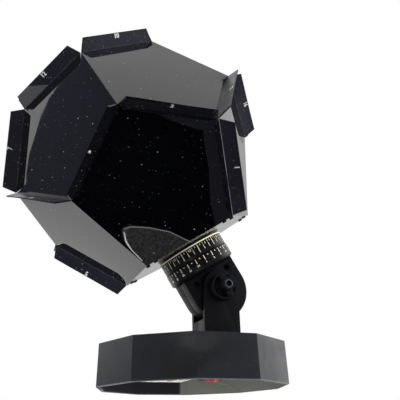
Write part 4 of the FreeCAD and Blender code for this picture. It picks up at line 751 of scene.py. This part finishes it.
def flattened(piece, names):
    """Most of the bow taken out of the gloss: stiff film mirrors like flat sheets between its folds."""
    mesh = piece.data
    turn = globe_place.to_3x3()
    flats = [(turn @ face_middle(name)).normalized() for name in names]
    ways = []
    for face in mesh.polygons:
        flat = max(flats, key=face.normal.dot)
        for corner in face.loop_indices:
            own = mesh.corner_normals[corner].vector
            lean = own.angle(flat, 0.0)
            share = film_bow_share + (1 - film_bow_share) * min(1.0, max(0.0, (lean - flat_lean) / flat_lean))
            ways.append(flat.lerp(own, share).normalized())
    mesh.normals_split_custom_set(ways)


# Heights in mm at which the flaps are divided. The part below nought is sunk.
flap_levels = [-4.5, -3.2, -1.8, -0.3, 0.0, 0.3, 2.4, 4.4, 6.2, 7.8, 8.5]
flap_steps = 20
flap_rim = 0.7 * mm
flap_wave = 0.7 * mm
seam_gap = 0.01 * mm
# How far a seam's flaps lean at their tips, to its first face, how pale its crease is (plain crease
# whitening, and a painted highlight on one seam), and how much painted shade its flaps get.
flap_leans = {("lower0", "lower1"): -3.0 * mm, ("top", "upper1"): 2.6 * mm,
              ("lower4", "upper4"): -1.2 * mm, ("lower3", "upper3"): 4.2 * mm,
              ("lower1", "upper0"): -0.5 * mm, ("top", "upper3"): 3.6 * mm}
crease_highlights = {("lower0", "lower1"): 1.0}
plain_crease_whitening = 0.12
seam_shadow = {("lower0", "upper4"): 0.85, ("lower0", "upper0"): 0.45}
# One flap is a lighter grey in its lower corner, up to a slanting line that starts this far along its foot.
pale_patch_flap = ("top", "upper4")
pale_patch_foot = 27.0 * mm
pale_patch_slope = 1.41
pale_patch_blur = 0.1 * mm
mark_height = 2.9 * mm
mark_below_tip = 2.0 * mm
flap_layers = ("rim", "low", "crease", "haze", "shadow")


def flap_bow(key, place, level):
    """How far both flaps of a seam lean and wave, towards the first face of the two."""
    share = max(0.0, level / flap_height)
    wave = noise.noise(Vector((place * 22.0, level * 30.0, float(seam_numbers[key]))))
    return share * (wave * flap_wave + flap_leans.get(key, 0.0))


def flap_frame(name, start, end):
    """The directions of one flap: along its seam, outwards, and towards its own face."""
    edge_middle = (start + end) / 2
    out = edge_middle.normalized()
    inward = face_middle(name) - edge_middle
    return (end - start).normalized(), out, (inward - out * inward.dot(out)).normalized()


def flap(form, name, start, end, key):
    """One glued six sided flap, with how near each of its points is to its rim and its creases."""
    layers = [form.verts.layers.float[layer] for layer in flap_layers]
    rim_layer, sunk_shade_layer, crease_pale_layer, pale_patch_layer, shadow_layer = layers
    along, out, side = flap_frame(name, start, end)
    sign = 1 if name == key[0] else -1
    flip = (globe_place @ start).z > (globe_place @ end).z
    columns = flap_steps + 2
    rows = len(flap_levels) - 1
    faces_before = len(form.faces)
    sheet = bmesh.ops.create_grid(form, x_segments=columns, y_segments=rows, size=0.5)["verts"]
    for vert in sheet:
        column = round((vert.co.x + 0.5) * columns)
        height = flap_levels[round((vert.co.y + 0.5) * rows)]
        level = height * mm
        if level < 0:
            inset = flap_edge_inset - (flap_foot_inset - flap_edge_inset) * level / flap_recess
        else:
            inset = flap_edge_inset + (flap_tip_inset - flap_edge_inset) * level / flap_height
        width = film_edge - 2 * inset
        places = ([0.0, flap_rim] + [width * step / flap_steps for step in range(1, flap_steps)]
                  + [width - flap_rim, width])
        place = places[column]
        bow = flap_bow(key, inset + place, level) * sign
        vert.co = start + along * (inset + place) + out * level + side * (seam_gap + bow)
        near = min(place, width - place, flap_height - level) / flap_rim
        vert[rim_layer] = min(1.0, max(0.0, near))
        vert[sunk_shade_layer] = 1.0 if level < 0 else 0.0
        vert[crease_pale_layer] = crease_highlights.get(key, plain_crease_whitening) if height == 0 else 0.0
        vert[shadow_layer] = seam_shadow.get(key, 0.0)
        from_end = film_edge - inset - place if flip else inset + place
        in_pale_patch = key == pale_patch_flap and level >= 0
        vert[pale_patch_layer] = pale_patch_foot - from_end - pale_patch_slope * level if in_pale_patch else -film_edge
    form.faces.ensure_lookup_table()
    raised = bmesh.ops.extrude_face_region(form, geom=form.faces[faces_before:])["geom"]
    bmesh.ops.translate(form, verts=[item for item in raised if isinstance(item, bmesh.types.BMVert)],
                        vec=side * (film_gauge - seam_gap))


def flap_mark(form, name, start, end, key):
    """A small plain number at the middle of a flap's tip, with its top to the tip."""
    along, out, side = flap_frame(name, start, end)
    level = flap_height - mark_below_tip
    foot = (start + end) / 2 + out * level
    across = out.cross(side)
    sign = 1 if name == key[0] else -1
    for vert in numeral(form, str(seam_numbers[key]), mark_height):
        place = foot + across * vert.co.x + out * vert.co.y
        bow = flap_bow(key, (place - start).dot(along), (place - start).dot(out)) * sign
        vert.co = place + side * (film_gauge + bow + vert.co.z)


def star_film(name, rough, by_place=False):
    """Black film with a navy cast, clear star dots of many sizes, dust, and faint smears in its gloss."""
    material, tree, surface, place = tree_of(name)
    surface.inputs["IOR"].default_value = 1.5
    flat = tree.nodes.new("ShaderNodeUVMap").outputs["UV"] if not by_place else place
    clouds = ranged(tree, grained(tree, place, 18.0), 0.0, 1.0)
    shade = blended(tree, clouds, (0.0010, 0.0010, 0.0014), (0.0018, 0.0018, 0.0030))
    for cells, size, rarity, tone in ((115.0, 0.042, 0.66, 0.28), (300.0, 0.065, 0.84, 0.20),
                                      (700.0, 0.10, 0.90, 0.08)):
        stars = tree.nodes.new("ShaderNodeTexVoronoi")
        stars.voronoi_dimensions = "3D" if by_place else "2D"
        stars.inputs["Scale"].default_value = cells
        tree.links.new(flat, stars.inputs["Vector"])
        chance = tree.nodes.new("ShaderNodeSeparateColor")
        tree.links.new(stars.outputs["Color"], chance.inputs["Color"])
        reach = ranged(tree, chance.outputs["Red"], 0.0, size, rarity, 1.0)
        inside = reckoned(tree, "LESS_THAN", stars.outputs["Distance"], reach)
        shade = blended(tree, inside, shade, (tone, tone, tone))
    coated(tree, surface, shade, ranged(tree, grained(tree, place, 60.0), rough - 0.02, rough + 0.03))
    return material


def attribute(tree, name):
    """A number that the mesh keeps at each of its points."""
    node = tree.nodes.new("ShaderNodeAttribute")
    node.attribute_name = name
    return node.outputs["Fac"]


def flap_film(name):
    """The same film on the flaps: hazier from the glue, black at its cut rim, with painted shade where sunk
    and on two seams, a pale crease (whitening, and a painted highlight on one seam), and a lighter grey patch
    on one flap.
    """
    material, tree, surface, place = tree_of(name)
    surface.inputs["Specular IOR Level"].default_value = 0.25
    clouds = ranged(tree, grained(tree, place, 40.0), 0.0, 1.0)
    shade = blended(tree, clouds, (0.0105, 0.0105, 0.0165), (0.0155, 0.0155, 0.0235))
    # Painted shade: the sunk part of each flap, below its crease, is darker.
    shade = blended(tree, attribute(tree, "low"), shade, (0.0060, 0.0060, 0.0085))
    shade = blended(tree, attribute(tree, "rim"), (0.0015, 0.0015, 0.0020), shade)
    # Pale crease: plain whitening on most seams, and a painted highlight on the seam right of the front face.
    rubbed = ranged(tree, grained(tree, place, 120.0), 0.25, 0.95, 0.35, 0.65)
    crease = reckoned(tree, "MULTIPLY", attribute(tree, "crease"), rubbed)
    shade = blended(tree, crease, shade, (0.50, 0.50, 0.52))
    shade = blended(tree, attribute(tree, "shadow"), shade, (0.0006, 0.0006, 0.0010))
    # A lighter grey patch in one flap's lower corner, up to a slanting line.
    in_pale_patch = ranged(tree, attribute(tree, "haze"), 0.0, 1.0, -pale_patch_blur, pale_patch_blur)
    shade = blended(tree, in_pale_patch, shade, (0.075, 0.075, 0.078))
    dust = ranged(tree, grained(tree, place, 700.0, 1.0), 0.0, 1.0, 0.70, 0.78)
    coated(tree, surface, blended(tree, dust, shade, (0.16, 0.16, 0.17)),
           ranged(tree, grained(tree, place, 60.0), 0.22, 0.34))
    return material


film = star_film("glossy_film", 0.03)
floor_film = star_film("floor_film", 0.17, True)
folded_film = flap_film("flap_film")
white_mark = printed("white_mark", (0.72, 0.72, 0.71), (0.50, 0.50, 0.50))
seam_numbers = {}
for label, names in sheets.items():
    form = panels(names)
    form.transform(globe_place)
    flattened(finished(form, label + "_panels", film, "globe", [label], smooth=40.0), names)
    flaps = bmesh.new()
    marks = bmesh.new()
    for layer in flap_layers:
        flaps.verts.layers.float.new(layer)
    for name in names:
        for start, end, other, glued in face_edges[name]:
            if glued:
                key = tuple(sorted((name, other)))
                seam_numbers.setdefault(key, len(seam_numbers) + 1)
                if name != key[0]:
                    start, end = end, start
                flap(flaps, name, start, end, key)
                flap_mark(marks, name, start, end, key)
    bmesh.ops.recalc_face_normals(flaps, faces=flaps.faces)
    bmesh.ops.recalc_face_normals(marks, faces=marks.faces)
    for shape in (flaps, marks):
        shape.transform(globe_place)
    piece = finished(flaps, label + "_flaps", folded_film, "globe", smooth=30.0)
    piece.visible_glossy = False
    piece = finished(marks, label + "_marks", white_mark, "globe", smooth=None)
    piece.visible_glossy = False
dressed("film_floor", floor_film, 0.0)
dressed("film_rivets", knob_plastic, 0.5 * mm, 4)


# Studio cards that only gloss sees, and from one side only. Each stands where the film mirrors it at
# named points of the picture: a dark one for the front face, a mottled grey one low in it with two
# bright edges, and a pale one at the left.
def mirrored_card(name, face, reach, strength, points, mottle=0.0, sink=0.0):
    """A card whose corners the film shows at these points of the picture, across and down."""
    tall = camera_data.lens / camera_data.sensor_width * picture_side
    middle_across = picture_side * (0.5 - camera_data.shift_x)
    middle_down = picture_side * (0.5 + camera_data.shift_y)
    face_point = globe_place @ face_middle(face)
    normal = (face_point - globe_place.translation).normalized()
    face_point -= normal * sink
    rays = []
    for across, down in points:
        way = (view_way * tall + view_right * (across - middle_across)
               - view_up * (down - middle_down)).normalized()
        hit = view_place + way * ((face_point - view_place).dot(normal) / way.dot(normal))
        rays.append((hit, (way - 2 * way.dot(normal) * normal).normalized()))
    corners = [hit + mirrored * reach for hit, mirrored in rays]
    mesh = bpy.data.meshes.new(name)
    mesh.from_pydata(corners, [], [list(range(len(corners)))])
    if mesh.polygons[0].normal.dot(normal) > 0:
        mesh.flip_normals()
    card = bpy.data.objects.new(name, mesh)
    bpy.context.scene.collection.objects.link(card)
    material, tree, out = stage_material(name)
    glow = tree.nodes.new("ShaderNodeEmission")
    glow.inputs["Strength"].default_value = strength
    if mottle:
        place = tree.nodes.new("ShaderNodeTexCoord").outputs["Object"]
        tree.links.new(ranged(tree, grained(tree, place, 500.0, 8.0), strength * (1 - mottle),
                              strength * (1 + mottle), 0.35, 0.65), glow.inputs["Strength"])
    behind = tree.nodes.new("ShaderNodeNewGeometry").outputs["Backfacing"]
    clear = tree.nodes.new("ShaderNodeBsdfTransparent")
    tree.links.new(layered(tree, behind, glow.outputs[0], clear.outputs[0]), out.inputs["Surface"])
    mesh.materials.append(material)
    card.visible_camera = False
    card.visible_diffuse = False
    card.visible_transmission = False
    card.visible_shadow = False


front_outline = ((150, 108), (175, 121), (205, 131), (213, 170), (214.5, 225), (205, 262), (120, 300),
                 (50, 240), (50, 190), (100, 90), (128, 97))
grey_outline = ((122.7, 229.9), (126, 227.4), (131.8, 226), (150.2, 227.6), (170, 231.4), (185.4, 239),
                (194.6, 242.1), (198, 252), (170, 272), (145, 272), (141, 262), (131.8, 251.3),
                (125.7, 240.6))
grey_top_edge = ((122.7, 229.9), (126, 227.2), (131.8, 225.7), (150.2, 227.2), (170, 231.0), (185.4, 238.5),
                 (194.6, 241.6), (194.6, 242.6), (185.4, 239.5), (170, 232.0), (150.2, 228.3), (131.8, 227))
grey_left_edge = ((124.2, 231.4), (125.7, 240.6), (131.8, 251.3), (141, 262), (142.2, 261.4),
                  (133.2, 250.6), (127.0, 240.2), (125.3, 231.6))
left_outline = ((67, 66), (47, 97), (36, 127.6), (27, 153), (22, 182), (5, 180), (5, 110), (40, 60),
                (70, 50))
mirrored_card("dark_card", "lower0", 68 * mm, 0.0, front_outline)
mirrored_card("stone_card", "lower0", 62 * mm, 0.42, grey_outline, mottle=0.5)
mirrored_card("stone_edge_card", "lower0", 61 * mm, 3.2, grey_top_edge)
mirrored_card("lamp_edge_card", "lower0", 60 * mm, 12.0, grey_left_edge)
mirrored_card("pale_card", "upper4", 70 * mm, 1.6, left_outline, sink=3.0 * mm)

# Foot's inside: a pale tray with three round cells side by side, nickel plates and narrowing springs.
# The cells have a dark blue sleeve with a copper band, and plain metal ends.
tray_plastic = moulded_plastic("tray_plastic", (0.56, 0.56, 0.52), (0.66, 0.66, 0.61), 0.5, shine=0.4)
dressed("battery_tray", tray_plastic, 0.25 * mm, 2)
foam, foam_tree, foam_face, foam_place = tree_of("foam_pad")
pores = grained(foam_tree, foam_place, 1500.0, 4.0)
coated(foam_tree, foam_face, blended(foam_tree, ranged(foam_tree, pores, 0.0, 1.0), (0.012, 0.012, 0.013),
                                     (0.06, 0.06, 0.062)), 0.95)
bumped(foam_tree, foam_face, pores, 0.25 * mm)
dressed("battery_tray_pad", foam, 0.25 * mm, 2)


def stepped(tree, source, stops):
    """A colour that changes at once at each of its stops along a value."""
    ramp = tree.nodes.new("ShaderNodeValToRGB")
    ramp.color_ramp.interpolation = "CONSTANT"
    marks = ramp.color_ramp.elements
    for index, (place, colour) in enumerate(stops):
        mark = marks[index] if index < len(marks) else marks.new(place)
        mark.position = place
        mark.color = (*colour, 1.0)
    tree.links.new(source, ramp.inputs["Fac"])
    return ramp.outputs["Color"]


cell_base_end = 0.035
cell_band_start = 0.74
cell_sleeve_end = 0.955
bare_metal = (0.62, 0.61, 0.58)


def cell_finish(name, node):
    """A cell's sleeve, its band and its bare ends, by the place along the cell."""
    low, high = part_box(node)
    axis = max(range(3), key=lambda side: high[side] - low[side])
    material, tree, surface, place = tree_of(name)
    parts = tree.nodes.new("ShaderNodeSeparateXYZ")
    tree.links.new(place, parts.inputs["Vector"])
    along = ranged(tree, parts.outputs[axis], 0.0, 1.0, low[axis], high[axis])
    bands = stepped(tree, along, ((0.0, bare_metal), (cell_base_end, (0.010, 0.018, 0.070)),
                                  (cell_band_start, (0.45, 0.19, 0.07)), (cell_sleeve_end, bare_metal)))
    scuffs = ranged(tree, grained(tree, place, 700.0, 3.0), 0.0, 0.7, 0.60, 0.75)
    coated(tree, surface, blended(tree, scuffs, bands, (0.30, 0.30, 0.31)),
           ranged(tree, grained(tree, place, 300.0), 0.22, 0.38))
    bare = stepped(tree, along, ((0.0, (1.0, 1.0, 1.0)), (cell_base_end, (0.1, 0.1, 0.1)),
                                 (cell_sleeve_end, (1.0, 1.0, 1.0))))
    tree.links.new(bare, surface.inputs["Metallic"])
    return material


for number in range(1, 4):
    node = "battery_cell_%d" % number
    dressed(node, cell_finish("cell_wrap_%d" % number, node), 0.35 * mm, 3)
nickel = steel("nickel_plate", (0.66, 0.64, 0.60), 0.26)
dressed("battery_contacts", nickel, 0.08 * mm, 1)
dressed("battery_springs", nickel, 0.0, crease=60.0)

# Switch: a slide switch behind the foot's rear wall, in a plated steel case held by two screws. Three
# tags stand out at its back, and its black moulded slider reaches out through the wall.
switch_steel = steel("switch_steel", (0.60, 0.60, 0.62), 0.34)
dressed("power_switch_case", switch_steel, 0.15 * mm, 2)
dressed("power_switch_tags", nickel, 0.06 * mm, 1)
slider_black = moulded_plastic("slider_black", (0.006, 0.006, 0.006), (0.010, 0.010, 0.010), 0.4)
dressed("power_slider", slider_black, 0.2 * mm, 2)

# Leads: thin wire in a soft plastic skin with a slight sheen, a little dusty. The red ones run from
# the cells to the switch and on to the lamp, and the black ones run back.
red_skin = moulded_plastic("red_lead_skin", (0.50, 0.012, 0.012), (0.62, 0.03, 0.025), 0.36)
black_skin = moulded_plastic("black_lead_skin", (0.008, 0.008, 0.008), (0.014, 0.014, 0.014), 0.36)
for node in ("supply_lead", "switch_lead", "lamp_lead_red"):
    dressed(node, red_skin, 0.0, crease=60.0)
for node in ("return_lead", "lamp_lead_black"):
    dressed(node, black_skin, 0.0, crease=60.0)

# Lamp at the globe's middle: a black post and holder, a brass shell and contact, insulating boards,
# and a clear screw bulb with its bead, its support wires and its coiled filament.
lamp_plastic = moulded_plastic("lamp_plastic", (0.010, 0.010, 0.010), (0.016, 0.016, 0.016), 0.45)
for node in ("lamp_post", "lamp_holder"):
    dressed(node, lamp_plastic, 0.25 * mm, 2)
board, board_tree, board_face, board_place = tree_of("insulator_board")
fibres = grained(board_tree, board_place, 1800.0, 5.0)
coated(board_tree, board_face, blended(board_tree, ranged(board_tree, fibres, 0.0, 1.0), (0.16, 0.07, 0.03),
                                       (0.30, 0.15, 0.07)), 0.6)
bumped(board_tree, board_face, fibres, 0.03 * mm)
for node in ("lamp_holder_insulator", "bulb_insulator"):
    dressed(node, board, 0.08 * mm, 1)
brass = steel("lamp_brass", (0.72, 0.52, 0.22), 0.25)
for node in ("lamp_holder_shell", "lamp_holder_contact", "bulb_cap"):
    dressed(node, brass, 0.08 * mm, 1)
solder = steel("solder", (0.55, 0.55, 0.57), 0.42)
dressed("bulb_tip", solder, 0.15 * mm, 2)
wire_metal = steel("lamp_wire", (0.42, 0.41, 0.40), 0.3)
for node in ("bulb_support_wires", "bulb_filament"):
    dressed(node, wire_metal, 0.0, crease=60.0)


def glass_finish(name, shade, rough):
    """Clear glass with the faint waves of a blown bulb."""
    material, tree, surface, place = tree_of(name)
    surface.inputs["Transmission Weight"].default_value = 1.0
    surface.inputs["IOR"].default_value = 1.5
    haze = ranged(tree, grained(tree, place, 200.0), rough, rough + 0.03)
    dust = ranged(tree, grained(tree, place, 900.0, 1.0), 0.0, 0.4, 0.68, 0.80)
    coated(tree, surface, blended(tree, dust, shade, (0.6, 0.6, 0.6)), haze)
    bumped(tree, surface, grained(tree, place, 150.0, 1.0), 0.02 * mm)
    return material


dressed("bulb_glass", glass_finish("clear_glass", (0.97, 0.98, 0.98), 0.0), 0.0, crease=60.0)
dressed("bulb_bead", glass_finish("bead_glass", (0.70, 0.80, 0.85), 0.05), 0.1 * mm, 2)
